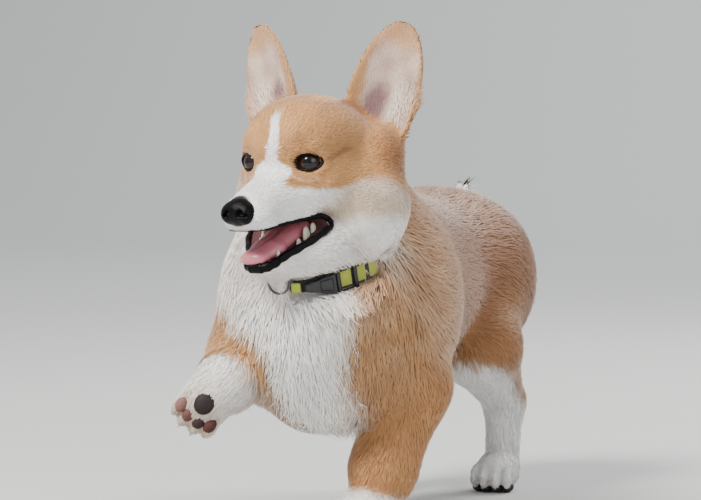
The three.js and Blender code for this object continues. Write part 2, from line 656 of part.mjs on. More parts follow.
// Cheeks: the ruff that frames the face
for (const side of [1, -1]) {
  zone("head", headSolid, {
    rows: 3, columns: 2, length: 34, width: 18, lift: 6,
    from: (a) => onHead(-62, side * 28, mix(2, -76, a)),
    towards: (a, b) => onHead(-62 - 0.5 - 0.5 * b, side * 29, 0).sub(onHead(-62, side * 28, 0)),
    lie: () => onHead(-0.8, side * 0.1, -0.65).sub(onHead(0, 0, 0)),
  });
}
// Tail: a short brush
zone("tail", limb(v(0, 232, 262), v(0, 256, 281), 15, 9), {
  rows: 2, columns: 3, length: 24, width: 12, lift: 4,
  from: (a) => v(0, mix(240, 252, a), mix(268, 279, a)), towards: (a, b) => v(Math.cos(b * Math.PI), 0.3, Math.sin(b * Math.PI)),
  lie: () => v(0, 0.75, 0.55),
});
// Feathering behind the forearms and down the backs of the thighs
for (const [name, leg] of Object.entries(legs)) {
  const [top, middle, low] = leg.joints;
  const [, lowerName] = legNodes(name);
  const isFore = name.startsWith("fore");
  const field = limb(middle, low, leg.radii[1] * 0.95, leg.radii[2]);
  const down = low.clone().sub(middle).normalize();
  zone(lowerName, field, {
    rows: 3, columns: 2, length: isFore ? 26 : 30, width: 13, lift: isFore ? 7 : 5,
    from: (a) => middle.clone().lerp(low, mix(0.1, 0.7, a)),
    towards: (a, b) => v(b * 0.7, 1, 0).addScaledVector(down, -v(b * 0.7, 1, 0).dot(down)),
    lie: () => v(0, 0.15, -1),
  });
}

// Each node is cut clear of the nodes before it, and its forms clear of all others
const boxesMeet = (a, b) => {
  const [p, q] = [a.boundingBox(), b.boundingBox()];
  return [0, 1, 2].every((k) => p.min[k] < q.max[k] && q.min[k] < p.max[k]);
};
const order = ["collar_band", "collar_slider", "collar_buckle", "collar_ring", "collar_loop", "eye_left", "eye_right", "nose", "torso", "neck", "head", "tongue", "jaw",
  "ear_left", "ear_right", "tail",
  ...Object.keys(legs).flatMap((name) => [...legNodes(name), `paw_${name}`])];
const bareFlesh = new Map(order.map((name) => [name, nodes.get(name).flesh(0)]));
const grownFlesh = new Map(order.map((name) => [name, nodes.get(name).flesh(gap).add(bareFlesh.get(name))]));
const floorCut = placed(new THREE.BoxGeometry(2000, 2000, 200), new THREE.Matrix4().makeTranslation(0, 0, -100));
const finished = new Map();
const grownLocks = new Map();
order.forEach((name, i) => {
  let body = bareFlesh.get(name);
  for (const before of order.slice(0, i)) {
    const other = grownFlesh.get(before);
    if (boxesMeet(body, other)) body = body.subtract(other);
  }
  const list = coats.get(name);
  if (list) {
    let locks = list.map((make) => make(0)).reduce((a, b) => a.add(b));
    for (const other of order) {
      if (other !== name && boxesMeet(locks, grownFlesh.get(other))) locks = locks.subtract(grownFlesh.get(other));
      if (grownLocks.has(other) && boxesMeet(locks, grownLocks.get(other))) locks = locks.subtract(grownLocks.get(other));
    }
    grownLocks.set(name, list.map((make) => make(gap)).reduce((a, b) => a.add(b)));
    body = body.add(locks);
  }
  if (body.boundingBox().min[2] < 0) body = body.subtract(floorCut);
  finished.set(name, largest(body).simplify(0.1));
});

// The model stands on the floor with its box centred on the origin
const low = v(1e6, 1e6, 1e6);
const high = low.clone().negate();
for (const body of finished.values()) {
  const box = body.boundingBox();
  low.min(v(...box.min));
  high.max(v(...box.max));
}
const shift = v(-(low.x + high.x) / 2, -(low.y + high.y) / 2, -low.z);
const corgi = new THREE.Group();
for (const [name, body] of finished) {
  const { colour, roughness, metalness, origin } = nodes.get(name);
  const mesh = new THREE.Mesh(geometryOf(body, origin),
    new THREE.MeshStandardMaterial({ color: colour, roughness, metalness }));
  mesh.name = name;
  mesh.position.copy(origin).add(shift);
  corgi.add(mesh);
}

export default corgi;
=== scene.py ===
import math

import bmesh
import bpy
import numpy as np
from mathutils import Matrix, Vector


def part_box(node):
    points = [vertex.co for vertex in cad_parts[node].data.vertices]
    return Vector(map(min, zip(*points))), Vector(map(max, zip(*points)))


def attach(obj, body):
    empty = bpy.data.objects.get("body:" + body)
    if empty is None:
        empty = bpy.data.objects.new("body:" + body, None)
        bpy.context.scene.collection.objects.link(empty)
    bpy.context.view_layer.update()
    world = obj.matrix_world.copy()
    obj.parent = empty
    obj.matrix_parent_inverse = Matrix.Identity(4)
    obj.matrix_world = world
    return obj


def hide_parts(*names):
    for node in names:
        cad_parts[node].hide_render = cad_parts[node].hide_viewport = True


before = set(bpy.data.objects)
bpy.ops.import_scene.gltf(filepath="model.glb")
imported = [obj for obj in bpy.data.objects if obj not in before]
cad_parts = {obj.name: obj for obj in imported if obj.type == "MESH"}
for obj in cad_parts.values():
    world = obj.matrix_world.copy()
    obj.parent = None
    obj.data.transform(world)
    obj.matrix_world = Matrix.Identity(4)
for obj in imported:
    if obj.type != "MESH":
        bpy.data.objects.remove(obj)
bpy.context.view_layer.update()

# ------------------------------------------------------------------ body
# The skin of the whole dog: one closed surface under the coat, from the same named masses as the
# solids, held in by the depth of the coat. It is worked out in the dog's own millimetres, with the
# nose towards -Y, its left side +X and the floor at 0, and moved into the shared frame at the end.
HEAD_YAW = math.radians(14)
HEAD_AT = np.array([-6.6, -215.0, 312.0])
EYE_AHEAD, EYE_OUT, EYE_RADIUS = -8.5, 26.5, 10.5
UP = np.array([0, 0, 1.0])


def on_head(forward, left, up):
    c, s = math.cos(HEAD_YAW), math.sin(HEAD_YAW)
    return np.array([left * c - forward * s, -left * s - forward * c, up]) + HEAD_AT


def head_coords(P):
    c, s = math.cos(HEAD_YAW), math.sin(HEAD_YAW)
    q = P - HEAD_AT
    return -(q[:, 1] * c + q[:, 0] * s), q[:, 0] * c - q[:, 1] * s, q[:, 2]


HEAD_SIDE = on_head(0, 1, 0) - on_head(0, 0, 0)
eye_low, eye_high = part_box("eye_left")
SHIFT = (np.array(eye_low) + np.array(eye_high)) * 500 - on_head(EYE_AHEAD, EYE_OUT, 0)


def to_frame(P):
    return (np.asarray(P, float) + SHIFT) / 1000


def unit(A):
    A = np.asarray(A, float)
    return A / np.maximum(np.linalg.norm(A, axis=-1, keepdims=True), 1e-9)


def ramp(t, low, high):
    x = np.clip((t - low) / (high - low), 0, 1)
    return x * x * (3 - 2 * x)


def ball(centre, radii, turn=None):
    centre, radii = np.array(centre, float), np.array(radii, float)

    def distance(P):
        q = P - centre
        if turn is not None:
            q = q @ turn
        k0 = np.linalg.norm(q / radii, axis=1)
        k1 = np.linalg.norm(q / radii ** 2, axis=1)
        return k0 * (k0 - 1) / np.maximum(k1, 1e-9)
    return distance


def limb(start, end, r0, r1, squash=1.0, across=(1.0, 0.0, 0.0)):
    start, end, across = np.array(start, float), np.array(end, float), np.array(across, float)
    way = end - start

    def distance(P):
        q = P - start
        t = np.clip(q @ way / (way @ way), 0, 1)
        q = q - t[:, None] * way
        if squash != 1.0:
            q = q + np.outer(q @ across * (1 / squash - 1), across)
        return np.linalg.norm(q, axis=1) - (r0 + (r1 - r0) * t)
    return distance


def soft_min(a, b, k):
    h = np.maximum(k - np.abs(a - b), 0) / k
    return np.minimum(a, b) - h * h * k / 4


def soft_max(a, b, k):
    return -soft_min(-a, -b, k)


def blend(k, *parts):
    def distance(P):
        d = parts[0](P)
        for part in parts[1:]:
            d = soft_min(d, part(P), k)
        return d
    return distance


def carve(body, tool, k):
    return lambda P: soft_max(body(P), -tool(P), k)


torso = blend(
    45,
    ball((0, -62, 188), (88, 142, 96)), ball((0, -138, 172), (66, 68, 84)),
    ball((0, -45, 236), (56, 95, 49)), ball((0, 75, 203), (76, 120, 79)),
    ball((0, 178, 208), (79, 80, 78)), ball((44, 188, 196), (45, 62, 64)),
    ball((-44, 188, 196), (45, 62, 64)), ball((56, -92, 182), (35, 62, 74)),
    ball((-51, -98, 186), (34, 64, 74)))
neck = blend(30, limb((0, -82, 212), (-4, -113, 306), 78, 62), ball((-3, -152, 226), (62, 48, 58)))
skull = blend(
    14,
    ball(on_head(-46, 0, 14), (54, 60, 43)), ball(on_head(-26, 0, 13), (35, 29, 33)),
    *[ball(on_head(-11, s * 22, 13), (14, 13, 11)) for s in (1, -1)],
    *[ball(on_head(-36, s * 29, -15), (24, 31, 24)) for s in (1, -1)],
    *[ball(on_head(-74, s * 53, 8), (20, 24, 22)) for s in (1, -1)])
cheeks = blend(12, *[ball(on_head(-63, s * 45, -33.5), (36, 33.5, 45)) for s in (1, -1)])
muzzle = blend(
    7,
    limb(on_head(-6, 0, -29), on_head(43, 0, -40), 28, 17, 1.12, HEAD_SIDE),
    *[ball(on_head(37, s * 10, -44), (14, 18, 12)) for s in (1, -1)])
upper_head = blend(16, skull, cheeks, muzzle)
jaw_form = blend(
    20, limb(on_head(-48, 0, -64), on_head(19, 0, -79), 33, 13, 1.2, HEAD_SIDE),
    ball(on_head(-38, 0, -76), (50, 42, 34)))
CORNER = (-44.0, -40.4)
UPPER_SLOPE, LOWER_SLOPE = -0.155, -0.617
CORNER_END = -23.5


def mouth_gap(P):
    f, _, u = head_coords(P)
    run = f - CORNER[0]
    above = (u - (CORNER[1] + UPPER_SLOPE * run)) / math.hypot(1, UPPER_SLOPE)
    below = (CORNER[1] + LOWER_SLOPE * run - u) / math.hypot(1, LOWER_SLOPE)
    return soft_max(soft_max(above, below, 1.5), CORNER_END - f, 6)


GAZE_YAW = 0.42


def along_gaze(side, reach, across=0.0, up=0.0):
    c, s = math.cos(GAZE_YAW), math.sin(GAZE_YAW)
    return on_head(EYE_AHEAD + c * reach - s * across, side * (EYE_OUT + s * reach + c * across), up)


def gaze_axes(side):
    """The way an eye looks, and the way across it."""
    centre = along_gaze(side, 0)
    return unit(along_gaze(side, 1) - centre), unit(along_gaze(side, 0, 1) - centre)


def at_both_eyes(offset, radii):
    """A ball at each eye, turned with its gaze."""
    balls = []
    for s in (1, -1):
        axis, across = gaze_axes(s)
        balls.append(ball(along_gaze(s, *offset), radii, np.stack([across, axis, UP], axis=1)))
    return lambda P: np.minimum(balls[0](P), balls[1](P))


eye_opening = at_both_eyes((12,), (12.2, 9, 6.8))
furred_lids = at_both_eyes((2.5, 0, 0.6), (17.5, 8.4, 12.5))
upper_part = carve(blend(6, upper_head, furred_lids), mouth_gap, 2)
lower_part = carve(jaw_form, mouth_gap, 2)
face = carve(carve(blend(7, upper_part, lower_part), mouth_gap, 1.0), eye_opening, 1.5)
EAR_HEIGHT, EAR_HALF, EAR_CUP = 106.0, 31.0, 15.0


def ear_axes(side):
    root, tip = on_head(-66, side * 45, 16), on_head(-77, side * 75, 115)
    up = unit(tip - root)
    facing = unit([0.385 if side > 0 else -0.24, -0.92, 0])
    c, s = math.cos(-HEAD_YAW), math.sin(-HEAD_YAW)
    facing = np.array([facing[0] * c - facing[1] * s, facing[0] * s + facing[1] * c, 0])
    across = unit(np.cross(facing, up)) * side
    return root, up, across, unit(np.cross(up, across)) * side


def ear_coords(P, side):
    root, up, across, out = ear_axes(side)
    q = P - root
    s = np.clip(q @ up / EAR_HEIGHT, 0, 1)
    shape = np.maximum(1 - s ** 3.4, 0) ** 0.62
    half = EAR_HALF * (0.8 + 0.2 * np.clip(s / 0.32, 0, 1)) * shape + 0.5
    a = q @ across / half
    bow = np.cos(np.clip(a, -1, 1) * math.pi / 2)
    lift = q @ out + EAR_CUP * (1 - 0.62 * s) * (half / EAR_HALF) * bow
    return q @ up / EAR_HEIGHT, a, lift, half, bow


def ear(side):
    def distance(P):
        s, a, lift, half, bow = ear_coords(P, side)
        blade = np.abs(lift) - (2.1 + 1.2 * bow + 1.8 * np.clip(1 - s, 0, 1))
        edge = (np.abs(a) - 1) * half * 0.8
        ends = np.maximum((s - 0.985) * EAR_HEIGHT, (-0.14 - s) * EAR_HEIGHT)
        return soft_max(soft_max(blade, edge, 2.5), ends, 2.5)
    return distance


legs = {
    "fore_left": [((48, -130, 178), (64, -88, 120), (49, -113, 50), (43, -120, 20)), (40, 35, 28, 19)],
    "fore_right": [((-46, -128, 182), (-70, -128, 144), (-60, -196, 129), (-66, -210, 120)), (38, 31, 25, 20)],
    "hind_left": [((38, 172, 200), (60, 124, 140), (56, 214, 82), (57, 203, 22)), (42, 38, 19, 17)],
    "hind_right": [((-38, 166, 200), (-58, 104, 140), (-48, 172, 82), (-44, 152, 22)), (42, 38, 19, 17)],
}
LIFTED_TOES = unit([-0.56, -0.22, -0.80])
LIFTED_SOLE = unit([0.30, -0.94, -0.06])
LIFTED_SIDE = unit(np.cross(LIFTED_SOLE, LIFTED_TOES))
LIFTED_BACK = unit(np.cross(LIFTED_SIDE, LIFTED_TOES))
lifted_turn = np.stack([LIFTED_SIDE, -LIFTED_TOES, LIFTED_BACK], axis=1)
paws = {
    "fore_left": ((42, -128, 20), (28, 37, 23), np.eye(3)),
    "fore_right": ((-72, -213, 113), (24, 27, 20), lifted_turn),
    "hind_left": ((57, 190, 18), (22, 34, 21), np.eye(3)),
    "hind_right": ((-43, 138, 18), (22, 34, 21), np.eye(3)),
}
TOES = (-0.66, -0.24, 0.24, 0.66)


def toe_ahead(place):
    """How far ahead of the paw's middle a toe lies: the two inner toes reach furthest."""
    return -(0.98 - 0.42 * abs(place))


def on_paw(name, x, y, z):
    centre, size, turn = paws[name]
    return np.array(centre, float) + turn @ (np.array([x, y, z], float) * np.array(size, float))


def leg_form(name):
    joints, radii = legs[name]
    return blend(14, *[limb(joints[i], joints[i + 1], radii[i], radii[i + 1]) for i in range(3)])


def paw_form(name):
    centre, size, turn = paws[name]
    size = np.array(size, float)
    parts = [ball(centre, size * (0.94, 0.92, 0.96), turn)]
    for place in TOES:
        parts.append(ball(on_paw(name, place * 1.03, toe_ahead(place) * 0.80, -0.16),
                          size * (0.27, 0.34, 0.60), turn))
    return blend(2.5, *parts)


tail = limb((0, 232, 262), (0, 256, 281), 15, 9)
groups = {"face": face, "ear_left": ear(1), "ear_right": ear(-1), "neck": neck, "torso": torso,
          "tail": tail}
for leg_name in legs:
    groups["leg_" + leg_name] = leg_form(leg_name)
    groups["paw_" + leg_name] = paw_form(leg_name)
names = list(groups)


def coat_depth(P, of_group):
    """How far the skin lies below the outline of the coat."""
    y, z = P[:, 1], P[:, 2]
    ruff = ramp(-y, 10, 110) * ramp(z, 60, 130)
    breech = ramp(y, 150, 220) * ramp(z, 80, 130)
    if of_group in ("neck", "torso"):
        return 2.8 + 2.9 * np.maximum(ruff, breech)
    if of_group == "face":
        return 1.4 * ramp(mouth_gap(P), -1, 5)
    return {"ear": 0.7, "tai": 6.0, "leg": 2.2, "paw": 1.3}[of_group[:3]]


COLLAR_AT = np.array([-3.0, -124.0, 238.0])
COLLAR_UP = unit([-0.02, -0.34, 0.94])
COLLAR_LEFT = unit(np.array([1.0, 0, 0]) - COLLAR_UP * COLLAR_UP[0])
COLLAR_FRONT = np.cross(COLLAR_LEFT, COLLAR_UP)
BAND_SIDE, BAND_AHEAD, BAND_BEHIND, BAND_MEAN = 68, 82, 62, 75


def collar_coords(P):
    """Angle around the collar, distance out from its inner side, and height along its axis."""
    q = P - COLLAR_AT
    a, b = q @ COLLAR_LEFT / BAND_SIDE, q @ COLLAR_FRONT
    b = b / np.where(b > 0, BAND_AHEAD, BAND_BEHIND)
    return np.arctan2(a, b), (np.hypot(a, b) - 1) * BAND_MEAN, q @ COLLAR_UP


def skin_field(P):
    d = {n: groups[n](P) + coat_depth(P, n) for n in names}
    trunk = soft_min(soft_min(d["torso"], d["neck"], 30), d["tail"], 8)
    for leg_name in legs:
        limb_d = soft_min(d["leg_" + leg_name], d["paw_" + leg_name], 5)
        trunk = soft_min(trunk, limb_d, 14)
    head_d = soft_min(soft_min(d["face"], d["ear_left"], 7), d["ear_right"], 7)
    whole = soft_min(trunk, head_d, 12)
    angle, radial, rise = collar_coords(P)
    band_room = np.maximum(np.abs(rise) - 9.3, -0.3 - radial)
    band_room = np.maximum(band_room, np.abs(angle - 0.58) * BAND_MEAN - 42)
    pocket = soft_max(np.maximum(np.abs(rise - 1.5) - 11, 1.2 - radial),
                      np.abs(angle - 0.52) * BAND_MEAN - 36, 8)
    whole = soft_max(whole, -np.minimum(band_room, pocket), 2)
    return np.maximum(whole, 0.8 - P[:, 2])


def stepped(*runs):
    return np.concatenate([np.arange(*run) for run in runs])


def on_grid(distance, ax):
    """The distances at every point of a grid."""
    grid = np.stack(np.meshgrid(*ax, indexing="ij"), axis=-1)
    return distance(grid.reshape(-1, 3)).reshape(grid.shape[:3])


axes = [stepped((-110, 111, 2.2)), stepped((-284, -120, 1.9), (-120, 284, 3.9)),
        stepped((-4, 60, 2.6), (60, 205, 3.8), (205, 446, 1.95))]
coarse = [np.unique(np.append(np.arange(0, len(ax), 5), len(ax) - 1)) for ax in axes]
shape = tuple(len(ax) for ax in axes)
field = on_grid(skin_field, [axes[k][coarse[k]] for k in range(3)])
for k in range(3):
    at = np.interp(np.arange(shape[k]), coarse[k], np.arange(len(coarse[k])))
    low = np.clip(at.astype(int), 0, len(coarse[k]) - 2)
    t = (at - low).reshape([-1 if a == k else 1 for a in range(3)])
    field = np.take(field, low, k) * (1 - t) + np.take(field, low + 1, k) * t
near = np.nonzero(np.abs(field) < 15)
band = np.stack([axes[k][near[k]] for k in range(3)], axis=1)
exact = np.empty(len(band))
for i in range(0, len(band), 400000):
    exact[i:i + 400000] = skin_field(band[i:i + 400000])
field[near] = exact
field = field.astype(np.float32)


def sample(P):
    """The distance to the skin, read from the grid."""
    i, t = [], []
    for k in range(3):
        low = np.clip(np.searchsorted(axes[k], P[:, k]) - 1, 0, shape[k] - 2)
        i.append(low)
        t.append(np.clip((P[:, k] - axes[k][low]) / (axes[k][low + 1] - axes[k][low]), 0, 1))
    d = 0
    for a in (0, 1):
        for b in (0, 1):
            for c in (0, 1):
                w = (t[0] if a else 1 - t[0]) * (t[1] if b else 1 - t[1]) * (t[2] if c else 1 - t[2])
                d = d + w * field[i[0] + a, i[1] + b, i[2] + c]
    return d


def slope(P, e=1.6):
    return unit(np.stack([sample(P + o) - sample(P - o) for o in np.eye(3) * e], axis=1))


def surface_net(D, ax):
    """A closed surface of quads through the zero of a grid of distances."""
    inside = D < 0
    corners = [(a, b, c) for a in (0, 1) for b in (0, 1) for c in (0, 1)]
    n = [s - 1 for s in D.shape]
    count = sum(inside[a:a + n[0], b:b + n[1], c:c + n[2]].astype(np.int8) for a, b, c in corners)
    cells = np.nonzero((count > 0) & (count < 8))
    index = np.full(n, -1, np.int64)
    index[cells] = np.arange(len(cells[0]))
    value = {q: D[cells[0] + q[0], cells[1] + q[1], cells[2] + q[2]] for q in corners}
    place = {q: np.stack([ax[k][cells[k] + q[k]] for k in range(3)], axis=1) for q in corners}
    total, hits = np.zeros((len(cells[0]), 3)), np.zeros(len(cells[0]))
    for p in corners:
        for k in range(3):
            if p[k]:
                continue
            q = tuple(1 if j == k else p[j] for j in range(3))
            cut = (value[p] < 0) != (value[q] < 0)
            t = np.where(cut, value[p] / np.where(cut, value[p] - value[q], 1), 0)
            total += np.where(cut[:, None], place[p] + t[:, None] * (place[q] - place[p]), 0)
            hits += cut
    points = total / hits[:, None]
    quads = []
    for k in range(3):
        u, v = (k + 1) % 3, (k + 2) % 3
        first, second = [slice(None)] * 3, [slice(None)] * 3
        first[k], second[k] = slice(0, D.shape[k] - 1), slice(1, D.shape[k])
        change = inside[tuple(first)] != inside[tuple(second)]
        edge = np.array(np.nonzero(change))
        keep = (edge[u] > 0) & (edge[u] < n[u]) & (edge[v] > 0) & (edge[v] < n[v])
        edge = edge[:, keep]
        ring = []
        for du, dv in ((-1, -1), (0, -1), (0, 0), (-1, 0)):
            cell = edge.copy()
            cell[u] += du
            cell[v] += dv
            ring.append(index[cell[0], cell[1], cell[2]])
        quad = np.stack(ring, axis=1)
        turned = ~inside[edge[0], edge[1], edge[2]]
        quad[turned] = quad[turned][:, ::-1]
        quads.append(quad)
    return points, np.concatenate(quads)


def new_object(name, data):
    made = bpy.data.objects.new(name, data)
    bpy.context.scene.collection.objects.link(made)
    return made


def bound(name, mesh, made):
    """A smooth piece that rides on the model's one body, with its material."""
    mesh.polygons.foreach_set("use_smooth", np.full(len(mesh.polygons), True))
    piece = new_object(name, mesh)
    piece.data.materials.append(made)
    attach(piece, "root")
    return piece


def mesh_piece(name, points, faces, made, slot_name):
    """A piece in the shared frame from arrays of points (dog's mm) and faces."""
    mesh = bpy.data.meshes.new(name)
    corners = faces.shape[1]
    mesh.vertices.add(len(points))
    mesh.vertices.foreach_set("co", to_frame(points).astype(np.float32).ravel())
    mesh.loops.add(faces.size)
    mesh.loops.foreach_set("vertex_index", faces.astype(np.int32).ravel())
    mesh.polygons.add(len(faces))
    mesh.polygons.foreach_set("loop_start", np.arange(0, faces.size, corners, dtype=np.int32))
    mesh.polygons.foreach_set("loop_total", np.full(len(faces), corners, np.int32))
    mesh.update(calc_edges=True)
    return bound(name, mesh, made)


def paint(piece, name, values, kind="FLOAT_COLOR"):
    attribute = piece.data.attributes.new(name, kind, "POINT")
    if kind == "FLOAT_COLOR":
        values = np.concatenate([values, np.ones((len(values), 1))], axis=1)
        attribute.data.foreach_set("color", values.astype(np.float32).ravel())
    else:
        attribute.data.foreach_set("vector", np.asarray(values, np.float32).ravel())


skin_points, skin_quads = surface_net(field, axes)
skin_normals = slope(skin_points)
distances = np.stack([groups[n](skin_points) for n in names], axis=1)
weights = np.exp(-np.maximum(distances, -6) / 7)
weights /= weights.sum(1, keepdims=True)
region = distances.argmin(1)

# Markings of the coat: tan over white, worked out from the place on the dog. The skin and every
# tuft read the same colours, so the coat never shows a second pattern beneath it.
TAN = (0.385, 0.175, 0.062)
GOLD = (0.50, 0.243, 0.084)
RUST = (0.25, 0.102, 0.037)
ORANGE = (0.47, 0.218, 0.078)
WHITE = (0.92, 0.90, 0.87)
CREAM = (0.80, 0.67, 0.52)
DARK = (0.018, 0.014, 0.014)
PINK = (0.50, 0.335, 0.28)


def wave(P, size, seed, turns=5):
    """Smooth noise from -1 to 1."""
    rng = np.random.default_rng(seed)
    total = 0
    for _ in range(turns):
        way = unit(rng.normal(size=3)) * (2 * math.pi / size) * rng.uniform(0.6, 1.5)
        total = total + np.sin(P @ way + rng.uniform(0, 6.28))
    return total / turns * 1.4


def lid_rim(P, side, wide, tall, lean=0.0):
    """How far out in an eye's opening, 1 at an oval of that size, and over 9 away from the eye."""
    q = P - along_gaze(side, 9)
    run = q @ gaze_axes(side)[1]
    return np.hypot(run / wide, (q[:, 2] - lean * run) / tall) + (np.linalg.norm(q, axis=1) > 26) * 9


def markings(P, N, G, with_bare=True):
    """Colour of the coat at points P with normals N and weights G of the body groups."""
    f, l, u = head_coords(P)
    x, y, z = P.T
    away = np.abs(l)
    g = dict(zip(names, G.T))
    head = np.clip(g["face"] + g["ear_left"] + g["ear_right"], 0, 1)
    fore = sum(g[n] for n in names if "fore" in n)
    hind = sum(g[n] for n in names if "hind" in n)
    ragged = wave(P, 14, 5) * 2.0 + wave(P, 5, 6) * 1.2

    def plain(c):
        return np.tile(np.array(c), (len(P), 1))

    def mix(a, b, t):
        return a * (1 - t[:, None]) + np.array(b) * t[:, None]

    # trunk and legs: rusty back, brighter shoulders and forelegs, pale locks beside the bib
    colour = mix(plain(RUST), TAN, ramp(wave(P, 90, 11) + (170 - z) * 0.012, -0.8, 1.2) * 0.7)
    colour = mix(colour, (0.405, 0.2, 0.078), ramp(-y, -10, 90) * 0.9)
    colour = mix(colour, ORANGE, np.clip(fore * 1.3, 0, 1))
    colour = mix(colour, (0.34, 0.158, 0.06), np.clip(hind * 1.2, 0, 1) * 0.8)
    patch = (1 - ramp(np.hypot((x + 58) / 34, (z - 165) / 34), 0.7, 1.2)) * ramp(-y, 70, 110)
    colour = mix(colour, (0.56, 0.28, 0.10), patch * 0.8)
    pale = ramp(-y, 70, 125) * ramp(z, 130, 200) * (1 - head)
    locks = ramp(wave(P, 28, 12) + wave(P, 9, 13) * 0.5, -0.9, 1.2)
    colour = mix(colour, (0.68, 0.455, 0.26), pale * locks * 0.5)
    # painted sheen: cream streaks where the coat on top of the back faces up, partly the back's own paler hair
    sheen = ramp(N[:, 2], 0.35, 0.9) * ramp(y, -60, 20) * ramp(z, 200, 240)
    colour = mix(colour, CREAM, sheen * ramp(wave(P, 9, 21) + wave(P, 4, 22), -0.2, 1.0) * 0.24)
    fringe = ramp(N[:, 1], 0.25, 0.8) * ramp(fore, 0.4, 0.8) * ramp(z, 45, 70) * (1 - ramp(z, 110, 150))
    colour = mix(colour, CREAM, fringe * 0.7)
    # bib, brisket and belly
    left_edge = 46 - 6 * ramp(200 - z, 0, 74) - 8 * ramp(z, 200, 228)
    right_edge = 16 + 62 * ramp(z, 168, 216)
    span = np.where(x > 0, x / left_edge, -x / right_edge) + ragged * 0.03
    nape = ramp(N[:, 2], 0.1, 0.5) * ramp(z, 258, 280)
    bib = ((1 - ramp(span, 0.82, 1.16)) * ramp(-y, 95, 145) * (1 - ramp(fore, 0.35, 0.7))
           * ramp(-N[:, 1], -0.25, 0.2) * (1 - nape))
    under = (ramp(-N[:, 2], 0.2, 0.65) * (1 - ramp(np.abs(x) + ragged, 36, 58))
             * (1 - ramp(hind + fore, 0.3, 0.7)) * (1 - 0.7 * ramp(y, 160, 215)))
    sleeve = ramp(-x, 8, 24) * ramp(-y, 90, 118) * (1 - ramp(z, 160, 180))
    white = np.maximum(bib, under * (1 - sleeve)) * (1 - head)
    # socks and the tail's tip
    for leg_name, (joints, _) in legs.items():
        mine = np.clip(g["leg_" + leg_name] + g["paw_" + leg_name], 0, 1)
        if leg_name == "fore_right":
            run = (P - np.array(joints[1])) @ unit(np.array(joints[2]) - np.array(joints[1]))
            bow = np.clip(np.where(x < -57, 0.014, 0.034) * (x + 57) ** 2, 0, 30)
            cuff = 141 - bow + 32 * ramp(run, 60, 76)
            sock = ramp(run + ragged, 0, 14) * (1 - ramp(z + ragged - cuff, -5, 5))
        elif leg_name == "fore_left":
            sock = 1 - ramp(z + ragged + (x - 45) * 0.2, 32, 42)
        else:
            sock = 1 - ramp(z + ragged + (y - joints[2][1] + 18) * 0.36, 82, 95)
        white = np.maximum(white, mine * sock)
    colour = mix(colour, WHITE, np.maximum(white, g["tail"] * ramp(y, 225, 250)))
    sole = ramp(N @ LIFTED_SOLE, 0.1, 0.7) * g["paw_fore_right"]
    colour = mix(colour, (0.50, 0.37, 0.25), np.clip(sole * 1.3, 0, 1) * 0.85)
    colour = mix(colour, CREAM, bib * ramp(np.abs(span), 0.45, 1.0) * 0.45)
    # face: tan head, white muzzle, blaze, cheeks and throat
    line = -20.5 + 4 * ramp(-f, 16, 34) - 11 * ramp(-f, 40, 72) + ragged * 0.5
    lower = ((1 - ramp((u - line) / (2.5 + 15 * ramp(-f, 24, 60)), -1, 1))
             * (1 - ramp(-f - 0.5 * np.maximum(-u - 30, 0), 62, 92)))
    front = ramp(f + ragged * 0.4 + (12 - away) * 0.2, 13, 19) * (1 - ramp(u, -8, 2))
    width = 2.3 + 1.7 * ramp(f, -40, -5) + 10.5 * ramp(7 - u, 0, 14) * ramp(f, -6, 5)
    off_line = np.abs(l - 1.2 - 3.2 * (1 - ramp(np.abs(u - 19), 4, 16))) + ragged * 0.12
    blaze = ((1 - ramp(off_line, width - 1.0, width + 1.2)) * (1 - ramp(u + ragged, 32, 43))
             * ramp(f, -64, -44))
    face_white = np.maximum(np.maximum(lower, front), blaze)
    face_tan = mix(plain(GOLD), TAN, ramp(-f, 40, 90) * 0.6)
    face_tan = face_tan * (1 + 0.10 * wave(P, 30, 71) + 0.05 * wave(P, 9, 72))[:, None]
    for cu, cl, ru, rl, depth in ((17, 25, 7, 7, 0.45), (-1, 11, 9, 4, 0.25), (18, 46, 18, 14, 0.3)):
        spot = np.hypot((u - cu) / ru, (away - cl) / rl)
        face_tan = mix(face_tan, RUST, (1 - ramp(spot, 0.2, 1.3)) * depth * ramp(f, -40, -20))

    def stroke(points, wide):
        """A soft line drawn on both sides of the face, by distance from the middle and height."""
        d = np.full(len(P), 99.0)
        q = np.stack([away, u], axis=1)
        for a, b in zip(points[:-1], points[1:]):
            a, b = np.array(a, float), np.array(b, float)
            t = np.clip((q - a) @ (b - a) / ((b - a) @ (b - a)), 0, 1)
            d = np.minimum(d, np.linalg.norm(q - a - t[:, None] * (b - a), axis=1))
        return 1 - ramp(d, 0, wide)

